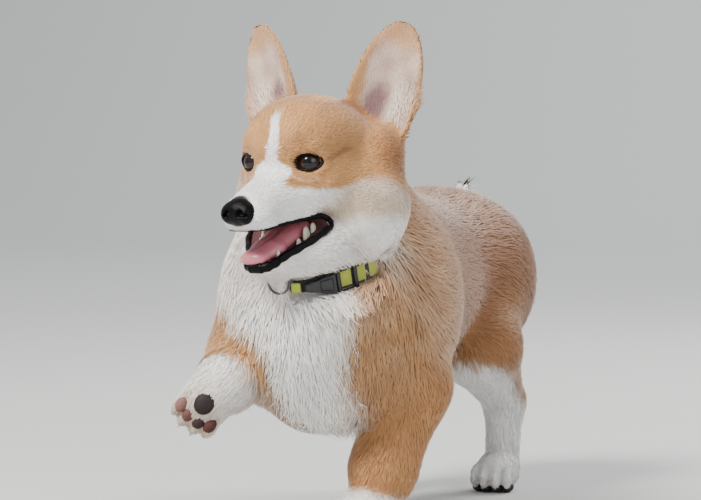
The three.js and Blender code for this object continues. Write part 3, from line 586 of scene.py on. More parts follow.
    in_front = ramp(f, -62, -50)
    # painted shade in the creases above and below each eye and behind its outer corner, in place of grooves in
    # the skin
    crease_shade = (stroke([(39, 1), (44, 4), (50, 11)], 3.2) * 0.75
              + stroke([(12, -8), (18, -14.5), (27, -17.5), (36, -14), (41, -6)], 2.4) * 0.4
              + stroke([(17, 10.5), (26, 12.5), (35, 9.5)], 2.4) * 0.35)
    lid_light = stroke([(16, -11), (26, -14), (36, -10.5)], 3) * 0.5
    face_tan = mix(face_tan, (0.22, 0.085, 0.03), np.clip(crease_shade, 0, 1) * in_front)
    face_tan = mix(face_tan, (0.70, 0.42, 0.22), lid_light * in_front)
    # painted shade in the hollow between each ear's root and the skull, and in the fold of fur below and behind
    # each ear
    for at, size, low, high, shade, amount in (
            ((-60, 33, 49), (22, 13, 15), 0.3, 1.2, (0.30, 0.12, 0.04), 0.85),
            ((-66, 64, 2), (21, 16, 28), 0.35, 1.15, (0.27, 0.105, 0.036), 0.9)):
        spot = np.linalg.norm((np.stack([f, away, u], axis=1) - at) / size, axis=1)
        face_tan = mix(face_tan, shade, (1 - ramp(spot, low, high)) * amount)
    cream = ramp(u + 0.15 * (f + 60) + ragged, -50, -32) * ramp(-f + ragged, 6, 30)
    chin = ramp(f, -46, -20) * ramp(-u, 44, 60) * 0.35
    face_colour = mix(face_tan, WHITE, face_white)
    face_colour = mix(face_colour, (0.50, 0.35, 0.21), face_white * cream * 0.85)
    face_colour = mix(face_colour, (0.74, 0.70, 0.64), face_white * chin)
    colour = mix(colour, face_colour, head)
    # ears: tan backs, tan inner edge and tip, pale inside with a mauve hollow darkened by painted shade, and a
    # light rim
    for side, n in ((1, "ear_left"), (-1, "ear_right")):
        s, a, lift, _, _ = ear_coords(P, side)
        inner = (ramp(lift, 0.0, 1.0) * ramp(g[n], 0.42, 0.7) * ramp(s, -0.08, 0.06)
                 * (1 - ramp(np.abs(a), 1.0, 1.15)))
        lined = mix(plain((0.66, 0.51, 0.41)), PINK, ramp(wave(P, 25, 61), -0.6, 1.0))
        streak = 1 - ramp(np.abs(a + 0.5 - 0.35 * s + 0.05 * wave(P, 6, 62)), 0.05, 0.3)
        lined = mix(lined, (0.82, 0.70, 0.58), streak * (1 - ramp(s, 0.35, 0.6)) * 0.8)
        # the hollow: the inner skin's mauve, darkened with painted shade deep in the ear's cup
        hollow = 1 - ramp(np.hypot((a - 0.2 + 0.25 * (s - 0.25)) * 2.3, (s - 0.24) * 2.9), 0.35, 1.05)
        lined = mix(lined, (0.22, 0.115, 0.12), hollow * 0.9)
        tan_edge = ramp(a + 0.05 * wave(P, 8, 63), 0.42 + 0.25 * s, 0.62 + 0.25 * s)
        tan_edge = np.maximum(np.maximum(tan_edge, ramp(s, 0.68, 0.86) * 0.85), ramp(-a, 0.74, 0.9))
        lined = mix(lined, (0.54, 0.285, 0.12), tan_edge)
        lined = mix(lined, CREAM, ramp(np.abs(a), 0.93, 1.0) * ramp(s, 0.15, 0.3) * 0.7)
        colour = mix(colour, lined, inner)
    if not with_bare:
        return colour
    # bare black skin at lids and nose; dark wet lining of the mouth
    for side in (1, -1):
        colour = mix(colour, DARK, 1 - ramp(lid_rim(P, side, 14.6, 8.9, 0.07), 0.80, 0.92))
    colour = mix(colour, DARK, 1 - ramp(np.linalg.norm(P - on_head(50, 0, -39), axis=1), 12.4, 13.6))
    at_corner = ramp(-f, 11, 17)
    lining = 1 - ramp(mouth_gap(P) - 1.3 * at_corner, 0.8, 2.2)
    lining = lining * (away < 40) * (f > CORNER[0] - 8) * (f < 56)
    lining = lining * np.maximum(ramp(upper_depth(P), 0.3, 1.6), at_corner)
    return mix(colour, (0.085, 0.022, 0.025), lining)


def upper_depth(P):
    return np.maximum(-upper_head(P), -jaw_form(P))


skin_colours = markings(skin_points, skin_normals, weights)


# Atlas for the baked textures: each body group is laid out from six sides, every side in a box
# of its own.
def atlas(points, quads, normals):
    face_normal = unit(normals[quads].sum(1))
    face_group = region[quads[:, 0]]
    side = np.abs(face_normal).argmax(1)
    side = side * 2 + (np.take_along_axis(face_normal, side[:, None], 1)[:, 0] > 0)
    chart = face_group * 6 + side
    centre = points[quads].mean(1)
    uv = np.zeros((len(quads), 4, 2))
    boxes = []
    for c in np.unique(chart):
        mine = chart == c
        keep = [k for k in range(3) if k != (c % 6) // 2]
        flat = points[quads[mine]][:, :, keep]
        low = flat.reshape(-1, 2).min(0)
        size = flat.reshape(-1, 2).max(0) - low
        boxes.append((size[1], size[0], c, mine, flat - low))
    boxes.sort(key=lambda b: -b[0])
    width = math.sqrt(sum(b[0] * b[1] for b in boxes)) * 1.12
    cx, cy, row, places = 0.0, 0.0, 0.0, []
    for tall, wide, c, mine, flat in boxes:
        if cx + wide > width:
            cx, cy, row = 0.0, cy + row + 2, 0.0
        places.append((cx, cy, mine, flat))
        cx += wide + 2
        row = max(row, tall)
    scale = 0.98 / max(width + 4, cy + row + 4)
    for px, py, mine, flat in places:
        uv[mine] = (flat + (px + 1, py + 1)) * scale + 0.005
    return uv


skin_uv = atlas(skin_points, skin_quads, skin_normals)


def add_uv(piece, uv):
    layer = piece.data.uv_layers.new(name="OFBake")
    layer.data.foreach_set("uv", uv.astype(np.float32).ravel())


def node_group(name, inputs, outputs):
    group = bpy.data.node_groups.new(name, "ShaderNodeTree")
    for title, kind, value in inputs:
        socket = group.interface.new_socket(title, in_out="INPUT", socket_type=kind)
        if value is not None:
            socket.default_value = value
    for title, kind in outputs:
        group.interface.new_socket(title, in_out="OUTPUT", socket_type=kind)
    return group, group.nodes.new("NodeGroupInput"), group.nodes.new("NodeGroupOutput")


def make(tree, kind, **values):
    """A node with its settings and input values."""
    node = tree.nodes.new(kind)
    for key, value in values.items():
        if hasattr(node, key):
            setattr(node, key, value)
        else:
            node.inputs[key.replace("_", " ").title()].default_value = value
    return node


def material(name, roughness=0.5, **values):
    made = bpy.data.materials.new(name)
    made.use_nodes = True
    shader = made.node_tree.nodes["Principled BSDF"]
    shader.inputs["Roughness"].default_value = roughness
    for key, value in values.items():
        shader.inputs[key.replace("_", " ")].default_value = value
    return made, made.node_tree, shader


def texture(tree, kind, **values):
    """A texture laid through the object's own space."""
    node = make(tree, kind, **values)
    tree.links.new(make(tree, "ShaderNodeTexCoord").outputs["Object"], node.inputs["Vector"])
    return node


def relief(tree, shader, height, strength, depth):
    """Bumps from a texture's output, with their depth in metres."""
    bump = make(tree, "ShaderNodeBump", Strength=strength, Distance=depth)
    tree.links.new(height, bump.inputs["Height"])
    tree.links.new(bump.outputs["Normal"], shader.inputs["Normal"])


# Fur tint: the painted markings, broken up by fine streaks and soft clouds.
fur_tint, tint_in, tint_out = node_group(
    "fur_tint", [("Scale", "NodeSocketFloat", 900.0), ("Amount", "NodeSocketFloat", 0.25)],
    [("Color", "NodeSocketColor"), ("Height", "NodeSocketFloat")])
painted = make(fur_tint, "ShaderNodeAttribute", attribute_name="coat")
fine = texture(fur_tint, "ShaderNodeTexNoise", Detail=4.0)
broad = texture(fur_tint, "ShaderNodeTexNoise", Scale=38.0, Detail=3.0)
fur_tint.links.new(tint_in.outputs["Scale"], fine.inputs["Scale"])
both = make(fur_tint, "ShaderNodeMath", operation="ADD")
fur_tint.links.new(fine.outputs["Fac"], both.inputs[0])
fur_tint.links.new(broad.outputs["Fac"], both.inputs[1])
centred = make(fur_tint, "ShaderNodeMath", operation="MULTIPLY_ADD")
fur_tint.links.new(both.outputs[0], centred.inputs[0])
fur_tint.links.new(tint_in.outputs["Amount"], centred.inputs[1])
centred.inputs[2].default_value = 0.76
tinted = make(fur_tint, "ShaderNodeVectorMath", operation="SCALE")
fur_tint.links.new(painted.outputs["Color"], tinted.inputs[0])
fur_tint.links.new(centred.outputs[0], tinted.inputs["Scale"])
fur_tint.links.new(tinted.outputs[0], tint_out.inputs["Color"])
fur_tint.links.new(fine.outputs["Fac"], tint_out.inputs["Height"])


def fur_material(name, scale, amount, bump, roughness, sheen):
    made, tree, shader = material(name, roughness, Sheen_Weight=sheen, Sheen_Roughness=0.5,
                                  Specular_IOR_Level=0.3)
    tint = make(tree, "ShaderNodeGroup", node_tree=fur_tint)
    tint.inputs["Scale"].default_value = scale
    tint.inputs["Amount"].default_value = amount
    relief(tree, shader, tint.outputs["Height"], bump, 0.0006)
    tree.links.new(tint.outputs["Color"], shader.inputs["Base Color"])
    return made


skin = mesh_piece("skin", skin_points, skin_quads,
                  fur_material("short_undercoat", 1100.0, 0.28, 0.6, 0.75, 0.15), "coat")
# the skin takes the markings at 0.8 of their brightness: darker undercoat and painted shade where it shows
# between the tufts
paint(skin, "coat", skin_colours * 0.8)
add_uv(skin, skin_uv)
FLESH = [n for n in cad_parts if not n.startswith(("eye", "nose", "tongue", "collar"))]
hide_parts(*FLESH)

# ------------------------------------------------------------------ coat
# The coat: solid tufts rooted in the skin, that lie back over each other along the body. They are
# short and fine on face, ears and feet, and long and wavy on neck, bib, breeches and tail stub.
# Each piece is one joined mesh, and each tuft carries the colour of its root.
def lie_of_coat(P, N):
    """The way the hair lies at each point, along the skin."""
    g = dict(zip(names, weights.T[:, :, None]))
    f, l, u = head_coords(P)
    back = on_head(-1, 0, 0) - on_head(0, 0, 0)
    crown = ramp(u, -12, 22)[:, None]
    ruff = ramp(-f, 30, 70)[:, None]
    face_way = (back + crown * 0.25 * UP - (1 - crown) * (0.25 + 0.9 * ruff) * UP
                + np.sign(l)[:, None] * ramp(np.abs(l), 2, 20)[:, None] * HEAD_SIDE * 0.16)
    way = g["face"] * unit(face_way)
    for s, n in ((1, "ear_left"), (-1, "ear_right")):
        _, ear_up, ear_across, _ = ear_axes(s)
        _, a, _, _, _ = ear_coords(P, s)
        way = way + g[n] * (ear_up + np.clip(a, -1, 1)[:, None] * ear_across * 0.35)
    x, y, z = P[:, 0:1], P[:, 1:2], P[:, 2:3]
    front = ramp(-y, 110, 165)
    neck_way = np.concatenate([np.sign(x) * 0.12 * front, 0.75 - 0.65 * front, -0.65 - 0.45 * front], axis=1)
    way = way + g["neck"] * unit(neck_way)
    rear = ramp(y, 120, 220)
    torso_way = np.concatenate([
        np.sign(x) * 0.18 * front, 1.0 - 0.95 * front - 0.85 * rear,
        -0.12 - 0.9 * front - 0.95 * rear - 0.35 * (1 - ramp(z, 150, 250))], axis=1)
    way = way + g["torso"] * unit(torso_way)
    for leg_name in legs:
        joints = np.array(legs[leg_name][0], float)
        upper, lower = unit(joints[2] - joints[1]), unit(joints[3] - joints[2])
        t = ramp((P - joints[2]) @ lower, -25, 15)[:, None]
        way = way + g["leg_" + leg_name] * unit(upper * (1 - t) + lower * t + (0, 0.12, 0))
        toes = -paws[leg_name][2][:, 1]
        way = way + g["paw_" + leg_name] * (toes + paws[leg_name][2][:, 2] * -0.35)
    way = way + g["tail"] * unit((0, 0.75, 0.45))
    way = way + np.cross(N, way) * (wave(P, 55, 31) * 0.22 + wave(P, 16, 32) * 0.16)[:, None]
    return unit(way - N * (way * N).sum(1, keepdims=True))


skin_lie = lie_of_coat(skin_points, skin_normals)


def coat_sizes(P, N):
    """Length, width, lift, wave and number per square mm of the tufts, for each place."""
    f, _, u = head_coords(P)
    y, z = P[:, 1], P[:, 2]
    g = dict(zip(names, weights.T))
    ruff, breech = ramp(-y, -20, 70), ramp(y, 190, 245) * ramp(240 - z, 0, 50)
    cheek, hanging = ramp(-f, 45, 80), ramp(8 - u, 0, 40)
    table = {
        "face": [5.5 + 13 * cheek * hanging, 0.85 + 0.7 * cheek, 0.7 + 2.8 * ramp(-f, 50, 80) * hanging,
                 0.05, 0.55 - 0.30 * ramp(-f, 40, 75)],
        "neck": [30, 1.15, 5.2, 0.12, 0.26],
        "torso": [17 + 15 * ruff + 16 * breech + 10 * ramp(-N[:, 2], 0.3, 0.8), 1.05 + 0.1 * ruff,
                  2.6 + 2.6 * ruff + 3 * breech, 0.05 + 0.06 * ruff, 0.28 - 0.06 * ruff],
        "tail": [16, 1.5, 5, 0.1, 0.5],
    }
    for n in ("ear_left", "ear_right"):
        s, a, lift, _, _ = ear_coords(P, 1 if n == "ear_left" else -1)
        inner = ramp(lift, 0.2, 1.4)
        fringe = inner * ramp(-a, 0.15, 0.5) * (1 - ramp(s, 0.3, 0.6))
        table[n] = [4.6 + 9 * fringe, 0.75, 0.6 + fringe * 1.6, 0.08,
                    0.55 - inner * 0.42 + 0.12 * fringe + 0.2 * inner * ramp(np.abs(a), 0.6, 0.85)]
    for leg_name in legs:
        table["leg_" + leg_name] = [11, 1.1, 1.7, 0.05, 0.36]
        table["paw_" + leg_name] = [6.0, 0.9, 1.0, 0.04, 0.5]
    sizes = np.zeros((len(P), 5))
    for n, row in table.items():
        sizes += g[n][:, None] * np.stack([np.ones(len(P)) * v for v in row], axis=1)
    return sizes


sizes = coat_sizes(skin_points, skin_normals)
gap, deep = mouth_gap(skin_points), upper_depth(skin_points)
bare = np.minimum(*[lid_rim(skin_points, s, 14.1, 8.6) for s in (1, -1)]) < 1.0
bare |= ((gap < 2.6) & (deep > 0.6)) | (gap < 1.4)
nose_at = on_head(50, 0, -39.5)
bare |= np.linalg.norm(skin_points - nose_at, axis=1) < 14.6
bare |= skin_points[:, 2] < 1.6
sizes[bare, 4] = 0
collar_angle, _, collar_rise = collar_coords(skin_points)
shown = ((collar_angle > 0.05 + 0.03 * wave(skin_points, 6, 90))
         & (collar_angle < 1.10 + 0.05 * wave(skin_points, 8, 91)))
sizes[shown & (collar_rise < 9) & (collar_rise > -9.3), 4] = 0
over = shown & (collar_rise > 10) & (collar_rise < 50)
sizes[over, 0] = np.minimum(sizes[over, 0], np.maximum(collar_rise[over] - 6.5, 4.0))
sizes[over, 2] = np.minimum(sizes[over, 2], 2 + 0.12 * collar_rise[over])

triangles = np.concatenate([skin_quads[:, [0, 1, 2]], skin_quads[:, [0, 2, 3]]])
corner_uv = np.concatenate([skin_uv[:, [0, 1, 2]], skin_uv[:, [0, 2, 3]]])
edge_a = skin_points[triangles[:, 1]] - skin_points[triangles[:, 0]]
edge_b = skin_points[triangles[:, 2]] - skin_points[triangles[:, 0]]
areas = np.linalg.norm(np.cross(edge_a, edge_b), axis=1) / 2
tri_centre = skin_points[triangles].mean(1)
tri_region = region[triangles[:, 0]]


def tuft_mesh(name, chosen, number, rings, seed):
    """One piece of the coat: number tufts of that many rings on the chosen triangles."""
    rng = np.random.default_rng(seed)
    chance = np.where(chosen, areas * sizes[triangles, 4].mean(1), 0)
    ladder = np.cumsum(chance) / chance.sum()
    pick = np.searchsorted(ladder, (np.arange(number) + rng.uniform(0, 1, number)) / number)
    pick = np.clip(pick, 0, len(triangles) - 1)
    r1, r2 = np.sqrt(rng.uniform(size=number)), rng.uniform(size=number)
    bary = np.stack([1 - r1, r1 * (1 - r2), r1 * r2], axis=1)

    def at_root(values):
        return (values[triangles[pick]] * bary[:, :, None]).sum(1)

    roots, normals, lie = at_root(skin_points), unit(at_root(skin_normals)), at_root(skin_lie)
    size = at_root(sizes)
    lie = lie + np.cross(normals, lie) * rng.normal(0, 0.16, number)[:, None]
    lie = unit(lie - normals * (lie * normals).sum(1, keepdims=True))
    side = np.cross(normals, lie)
    length = size[:, 0] * rng.uniform(0.72, 1.25, number)
    width = size[:, 1] * rng.uniform(0.7, 1.3, number)
    lift = size[:, 2] * rng.uniform(0.55, 1.2, number)
    curl = size[:, 3] * rng.normal(0, 1, number) + 0.6 * size[:, 3] * wave(roots, 22, 41)
    uv_root = (corner_uv[pick] * bary[:, :, None]).sum(1)
    base = markings(roots, normals, at_root(weights), with_bare=False)
    jitter = 1 + rng.normal(0, 0.045, number) + 0.05 * wave(roots, 9, 43) + 0.06 * wave(roots, 30, 44)
    base = base * jitter[:, None]
    warm = rng.normal(0, 0.03, number)
    base = base * np.stack([1 + warm, np.ones(number), 1 - warm], axis=1)
    steps = np.linspace(0, 1, rings + 1)
    points, colours, uvs, facing = [], [], [], []
    for k, s in enumerate(steps):
        middle = roots + lie * (length * s)[:, None] + side * (curl * length * s * s)[:, None]
        normal = slope(middle) if k else normals
        normal = np.where(((normal * normals).sum(1) < 0.4)[:, None], normals, normal)
        target = -0.35 * width + (lift + 0.35 * width) * s ** 0.9
        middle = middle + normal * np.clip(target - sample(middle), -14, 14)[:, None]
        # each tuft darker at its root than at its tip: partly darker undercoat, partly painted shade deep in
        # the coat
        shade_here = 0.88 + 0.14 * s ** 0.7
        uv_here = uv_root + (0.0, (s - 0.5) * 0.003)
        if k == rings:
            points.append(middle[:, None])
            facing.append(unit(normal + lie * 0.2)[:, None])
            colours.append((base * shade_here)[:, None])
            uvs.append(uv_here[:, None])
        else:
            half = width / 2 * (0.75 + 0.9 * s - 1.15 * s * s)
            across = unit(np.cross(normal, lie))
            left = middle - across * half[:, None]
            right = middle + across * half[:, None]
            ridge = middle + normal * (half * 0.55)[:, None]
            points.append(np.stack([left, right, ridge], axis=1))
            open_way = unit(normal + normals * 0.8)
            facing.append(unit(np.stack([open_way - across * 0.34, open_way + across * 0.34, open_way],
                                        axis=1)))
            colours.append(np.repeat((base * shade_here)[:, None], 3, axis=1))
            uvs.append(np.stack([uv_here + (-0.0012, 0), uv_here + (0.0012, 0), uv_here], axis=1))
    points = np.concatenate(points, axis=1)
    colours, uvs = np.concatenate(colours, axis=1), np.concatenate(uvs, axis=1)
    per = 3 * rings + 1
    one = [(0, 2, 1)]
    for k in range(rings - 1):
        for a, b in ((0, 1), (1, 2), (2, 0)):
            i, j = 3 * k + a, 3 * k + b
            one += [(i, j, j + 3), (i, j + 3, i + 3)]
    last = 3 * (rings - 1)
    one += [(last + a, last + b, per - 1) for a, b in ((0, 1), (1, 2), (2, 0))]
    faces = (np.array(one)[None] + np.arange(number)[:, None, None] * per).reshape(-1, 3)
    piece = mesh_piece(name, points.reshape(-1, 3), faces, coat_material, "coat")
    piece.data.normals_split_custom_set_from_vertices(np.concatenate(facing, axis=1).reshape(-1, 3))
    paint(piece, "coat", np.clip(colours.reshape(-1, 3), 0, 1))
    add_uv(piece, uvs.reshape(-1, 2)[faces.ravel()])


coat_material = fur_material("coat_hair", 1500.0, 0.24, 0.25, 0.62, 0.30)
cf, ty = head_coords(tri_centre)[0], tri_centre[:, 1]


def of(*group_names):
    return np.isin(tri_region, [names.index(n) for n in group_names])


fore_legs = of("leg_fore_left", "paw_fore_left", "leg_fore_right", "paw_fore_right")
hind_legs = of("leg_hind_left", "paw_hind_left", "leg_hind_right", "paw_hind_right")
COAT = [
    ("coat_face", of("face") & (cf > -42), 15000, 2),
    ("coat_cheeks", of("face") & (cf <= -42), 10000, 3),
    ("coat_ears", of("ear_left", "ear_right"), 11000, 2),
    ("coat_neck", of("neck"), 11000, 3),
    ("coat_chest", of("torso") & (ty < -95), 12000, 3),
    ("coat_shoulders", of("torso") & (ty >= -95) & (ty < -10), 9500, 3),
    ("coat_back", of("torso") & (ty >= -10) & (ty < 110), 9500, 3),
    ("coat_rump", of("torso", "tail") & (ty >= 110), 9500, 3),
    ("coat_forelegs", fore_legs, 14000, 2),
    ("coat_hindlegs", hind_legs, 13000, 2),
]
for n, (name, chosen, number, rings) in enumerate(COAT):
    tuft_mesh(name, chosen, number, rings, 100 + n)

# ------------------------------------------------------------------ eyes
# Eyes: dark brown wet balls that sit deep between black lids. The iris fills the opening, with a
# black pupil; the lids are bare smooth skin that follows the ball.
dark_skin, tree, shader = material("bare_black_skin", 0.33, Base_Color=(0.003, 0.0026, 0.003, 1),
                                   Specular_IOR_Level=0.10)
pores = texture(tree, "ShaderNodeTexVoronoi", Scale=1400.0)
relief(tree, shader, pores.outputs["Distance"], 0.35, 0.0003)


def lattice(rows, columns, closed=False):
    """Quads from each ring of points to the next; a closed one joins its last ring to its first."""
    rings = rows if closed else rows + 1
    return [(i * columns + j, i * columns + (j + 1) % columns,
             (i + 1) % rings * columns + (j + 1) % columns, (i + 1) % rings * columns + j)
            for i in range(rows) for j in range(columns)]


def swept(path, radii, sides=10, closed=False, squash=1.0, up=(0, 0, 1)):
    """A tube along a path of points, with its own radius at each."""
    path, radii = np.asarray(path, float), np.asarray(radii, float)
    along = unit(np.roll(path, -1, 0) - np.roll(path, 1, 0) if closed else np.gradient(path, axis=0))
    u = unit(np.cross(along, np.broadcast_to(up, path.shape)))
    w = np.cross(u, along)
    angle = 2 * math.pi * np.arange(sides) / sides
    ring = u[:, None] * np.cos(angle)[None, :, None] + w[:, None] * (np.sin(angle) * squash)[None, :, None]
    points = (path[:, None] + ring * radii[:, None, None]).reshape(-1, 3)
    last = (len(path) - 1) * sides
    faces = lattice(len(path) if closed else len(path) - 1, sides, closed)
    if not closed:
        points = np.concatenate([points, path[:1], path[-1:]])
        for j in range(sides):
            k = (j + 1) % sides
            faces += [(len(points) - 2, k, j), (len(points) - 1, last + j, last + k)]
    return points, faces


def loose_piece(name, points, faces, made, slot_name):
    """A small piece from a list of faces, smooth, with its material; its slot name is not used."""
    mesh = bpy.data.meshes.new(name)
    mesh.from_pydata(to_frame(points).tolist(), [], faces)
    mesh.update()
    return bound(name, mesh, made)


def eyeball(side):
    axis, across = gaze_axes(side)
    rows, columns = 40, 48
    points, tints = [], []
    for polar in math.pi * np.arange(rows + 1) / rows:
        bulge = 1 + 0.05 * math.exp(-(polar / 0.55) ** 2)
        rim = ramp(polar, 0.74, 0.86)
        for a in 2 * math.pi * np.arange(columns) / columns:
            points.append(along_gaze(side, 0) + EYE_RADIUS * bulge * (
                axis * math.cos(polar) + math.sin(polar) * (across * math.cos(a) + UP * math.sin(a))))
            streak = 1 + 0.35 * math.sin(a * 23 + 2 * math.sin(a * 5)) * 0.5
            brown = np.array([0.016, 0.0065, 0.003]) * streak * (1 - 0.75 * rim)
            tints.append((0.002, 0.002, 0.002) if polar < 0.36 else brown if polar < 0.86
                         else (0.03, 0.02, 0.018))
    return np.array(points), np.array(tints), lattice(rows, columns)


eye_glass, tree, shader = material("wet_eye", 0.035, Coat_Weight=0.25, Coat_Roughness=0.01,
                                   Specular_IOR_Level=0.28)
eye_paint = make(tree, "ShaderNodeAttribute", attribute_name="iris")
tree.links.new(eye_paint.outputs["Color"], shader.inputs["Base Color"])
for side, label in ((1, "left"), (-1, "right")):
    points, tints, faces = eyeball(side)
    ball_piece = loose_piece("eyeball_" + label, points, faces, eye_glass, "eye")
    paint(ball_piece, "iris", tints)
    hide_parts("eye_" + label)
    turns = np.linspace(0, 2 * math.pi, 64, endpoint=False)
    across = 12.6 * np.cos(turns) - 1.4 * np.maximum(-np.cos(turns), 0) ** 6
    rise = np.where(np.sin(turns) > 0, 7.0, 6.3) * np.sin(turns) * (1 - 0.16 * np.cos(turns) ** 2)
    rise = rise + 0.9 * np.cos(turns) - 0.6 * np.maximum(-np.cos(turns), 0) ** 6
    reach = np.sqrt(np.maximum((EYE_RADIUS + 0.35) ** 2 - across ** 2 - rise ** 2, 6.6 ** 2))
    path = np.array([along_gaze(side, r, a, h) for r, a, h in zip(reach, across, rise)])
    thick = 0.95 + 0.5 * np.maximum(np.sin(turns), 0)
    rim = swept(path, thick, 10, closed=True, up=gaze_axes(side)[0])
    loose_piece("lids_" + label, *rim, dark_skin, "bare_skin")

# ------------------------------------------------------------------ nose
# Nose: the black pebbled leather at the end of the muzzle, wet on top, with comma-shaped nostrils
# and a groove below. It is one closed skin of a few balls with hollows carved in, set in the fur.
nose_turn = np.stack([HEAD_SIDE, unit(on_head(0, 0, 0) - on_head(1, 0, 0)), UP], axis=1)
nose_form = blend(4, ball(nose_at, (14.6, 12.6, 11.8), nose_turn),
                  *[ball(on_head(55, s * 8.8, -41), (6.2, 6.4, 7.4), nose_turn) for s in (1, -1)])
nostrils = blend(1.2, *[ball(on_head(62.5, s * 6.2, -40.5), (2.9, 4.6, 2.9), nose_turn) for s in (1, -1)],
                 *[ball(on_head(60.5, s * 10.2, -42), (2.8, 3.4, 1.2), nose_turn) for s in (1, -1)])
groove = limb(on_head(64.5, 0, -36), on_head(60, 0, -53), 0.7, 0.9)
nose_skin, tree, shader = material("nose_leather", 0.3, Base_Color=(0.0025, 0.0024, 0.003, 1),
                                   Specular_IOR_Level=0.09)
pebbles = texture(tree, "ShaderNodeTexVoronoi", Scale=1050.0)
relief(tree, shader, pebbles.outputs["Distance"], 0.55, 0.0004)


def net_piece(name, distance, centre, reach, step, made, slot_name):
    """The closed surface of a distance field, in a box that reaches out from a centre."""
    ax = [np.arange(c - reach, c + reach, step) for c in centre]
    return mesh_piece(name, *surface_net(on_grid(distance, ax), ax), made, slot_name)


nose_field = carve(carve(nose_form, nostrils, 1.6), groove, 1.4)
nose_piece = net_piece("nose_leather", nose_field, nose_at, 20, 0.6, nose_skin, "bare_skin")
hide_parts("nose")

# ------------------------------------------------------------------ mouth
# Mouth: black lips that thicken towards the corner, a pink tongue with a groove that rests on the
# lower lip, and ivory teeth: small ones in front, a canine each side and the large ones behind.
lip_mass = blend(7, upper_head, jaw_form)


def lip_point(forward, up, side, out):
    wide = np.linspace(0, 62, 311)
    inside = lip_mass(on_head(forward, 0, up) + wide[:, None] * side * HEAD_SIDE) < 0
    return on_head(forward, side * ((wide[inside].max() if inside.any() else 0.0) + out), up)


def lip_run(mass, tilt, drop, out, steps=30):
    """Points of one lip, left and right, from the corner of the mouth to its front."""
    def height(forward):
        return CORNER[1] + tilt * (forward - CORNER[0]) + drop
    scan = np.linspace(CORNER_END, 70, 400)
    reach = scan[mass(np.array([on_head(f, 0, height(f)) for f in scan])) < 0].max() - 0.4
    first = CORNER_END + 2.2
    runs = [first + (reach - first) * math.sin(k / (steps - 1) * math.pi / 2) for k in range(steps)]
    return [[lip_point(f, height(f), s, out) for f in runs] for s in (1, -1)]


upper_left, upper_right = lip_run(upper_head, UPPER_SLOPE, 0.3, -0.2)
lower_left, lower_right = lip_run(jaw_form, LOWER_SLOPE, 0.4, -0.5)


def lip_corner(top, bottom, side):
    """Points round the corner of the mouth, from the upper to the lower lip."""
    f, l, u = head_coords(np.array([top, bottom]))
    middle, radius = u.mean(), (u[0] - u[1]) / 2
    return [lip_point(f[0] - radius * 1.1 * math.sin(a), middle + radius * math.cos(a), side, -0.3)
            for a in np.linspace(0, math.pi, 7)[1:-1]]


corner_left = lip_corner(upper_left[0], lower_left[0], 1)
corner_right = lip_corner(upper_right[0], lower_right[0], -1)
lip_line = np.array(upper_right + upper_left[::-1] + corner_left + lower_left + lower_right[::-1]
                    + corner_right[::-1])
n_up, n_low = len(upper_left), len(lower_left)
from_corner = np.linspace(1, 0, n_up)
upper_thick = 0.3 + 1.5 * from_corner ** 1.6
low_thick = 2.2 + 1.3 * np.linspace(0, 1, n_low) + 0.3 * np.sin(np.arange(n_low) * 1.4)
thick = np.concatenate([upper_thick, upper_thick[::-1], np.full(len(corner_left), 1.9), low_thick,
                        low_thick[::-1], np.full(len(corner_right), 2.0)])
loose_piece("lips", *swept(lip_line, thick, 12, closed=True, squash=1.25), dark_skin, "bare_skin")

tongue_skin, tree, shader = material("tongue", 0.28, Base_Color=(0.56, 0.18, 0.215, 1),
                                     Subsurface_Weight=0.25, Subsurface_Radius=(0.004, 0.0012, 0.001))
buds = texture(tree, "ShaderNodeTexVoronoi", Scale=1300.0)
relief(tree, shader, buds.outputs["Distance"], 0.3, 0.0003)
tongue_body = blend(5, limb(on_head(-22, 0, -54), on_head(12, -1, -70.5), 9.5, 7.2, 1.9, HEAD_SIDE),
                    limb(on_head(12, -1, -70.5), on_head(27.5, -4, -78), 7.2, 6.4, 1.95, HEAD_SIDE))
tongue_groove = limb(on_head(-22, 0, -43.5), on_head(12, -1, -62.5), 1.2, 1.4)
tongue_tip_groove = limb(on_head(12, -1, -62.5), on_head(33, -4, -71.5), 1.4, 0.8)
tongue_field = carve(tongue_body, blend(2, tongue_groove, tongue_tip_groove), 5)
tongue_piece = net_piece("tongue_muscle", tongue_field, on_head(4, 0, -70), 42, 1.1, tongue_skin, "tongue")
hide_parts("tongue")


def tooth(root, tip, width, depth, sides=8, rings=6):
    root, tip = np.array(root), np.array(tip)
    way = tip - root
    u = HEAD_SIDE * depth
    w = unit(np.cross(way, HEAD_SIDE)) * width
    points = []
    for i in range(rings):
        s = i / rings
        r = (1 - s ** 3) ** 0.6
        for j in range(sides):
            a = 2 * math.pi * j / sides
            points.append(root + way * s + r * (u * math.cos(a) + w * math.sin(a)))
    points.append(tip)
    last = (rings - 1) * sides
    faces = lattice(rings - 1, sides)
    faces += [(last + j, last + (j + 1) % sides, len(points) - 1) for j in range(sides)]
    faces.append(tuple(range(sides))[::-1])
    return points, faces


def add_part(store_points, store_faces, points, faces):
    """More points and faces for a piece of several parts."""
    store_faces += [tuple(i + len(store_points) for i in f) for f in faces]
    store_points += [tuple(p) for p in points]


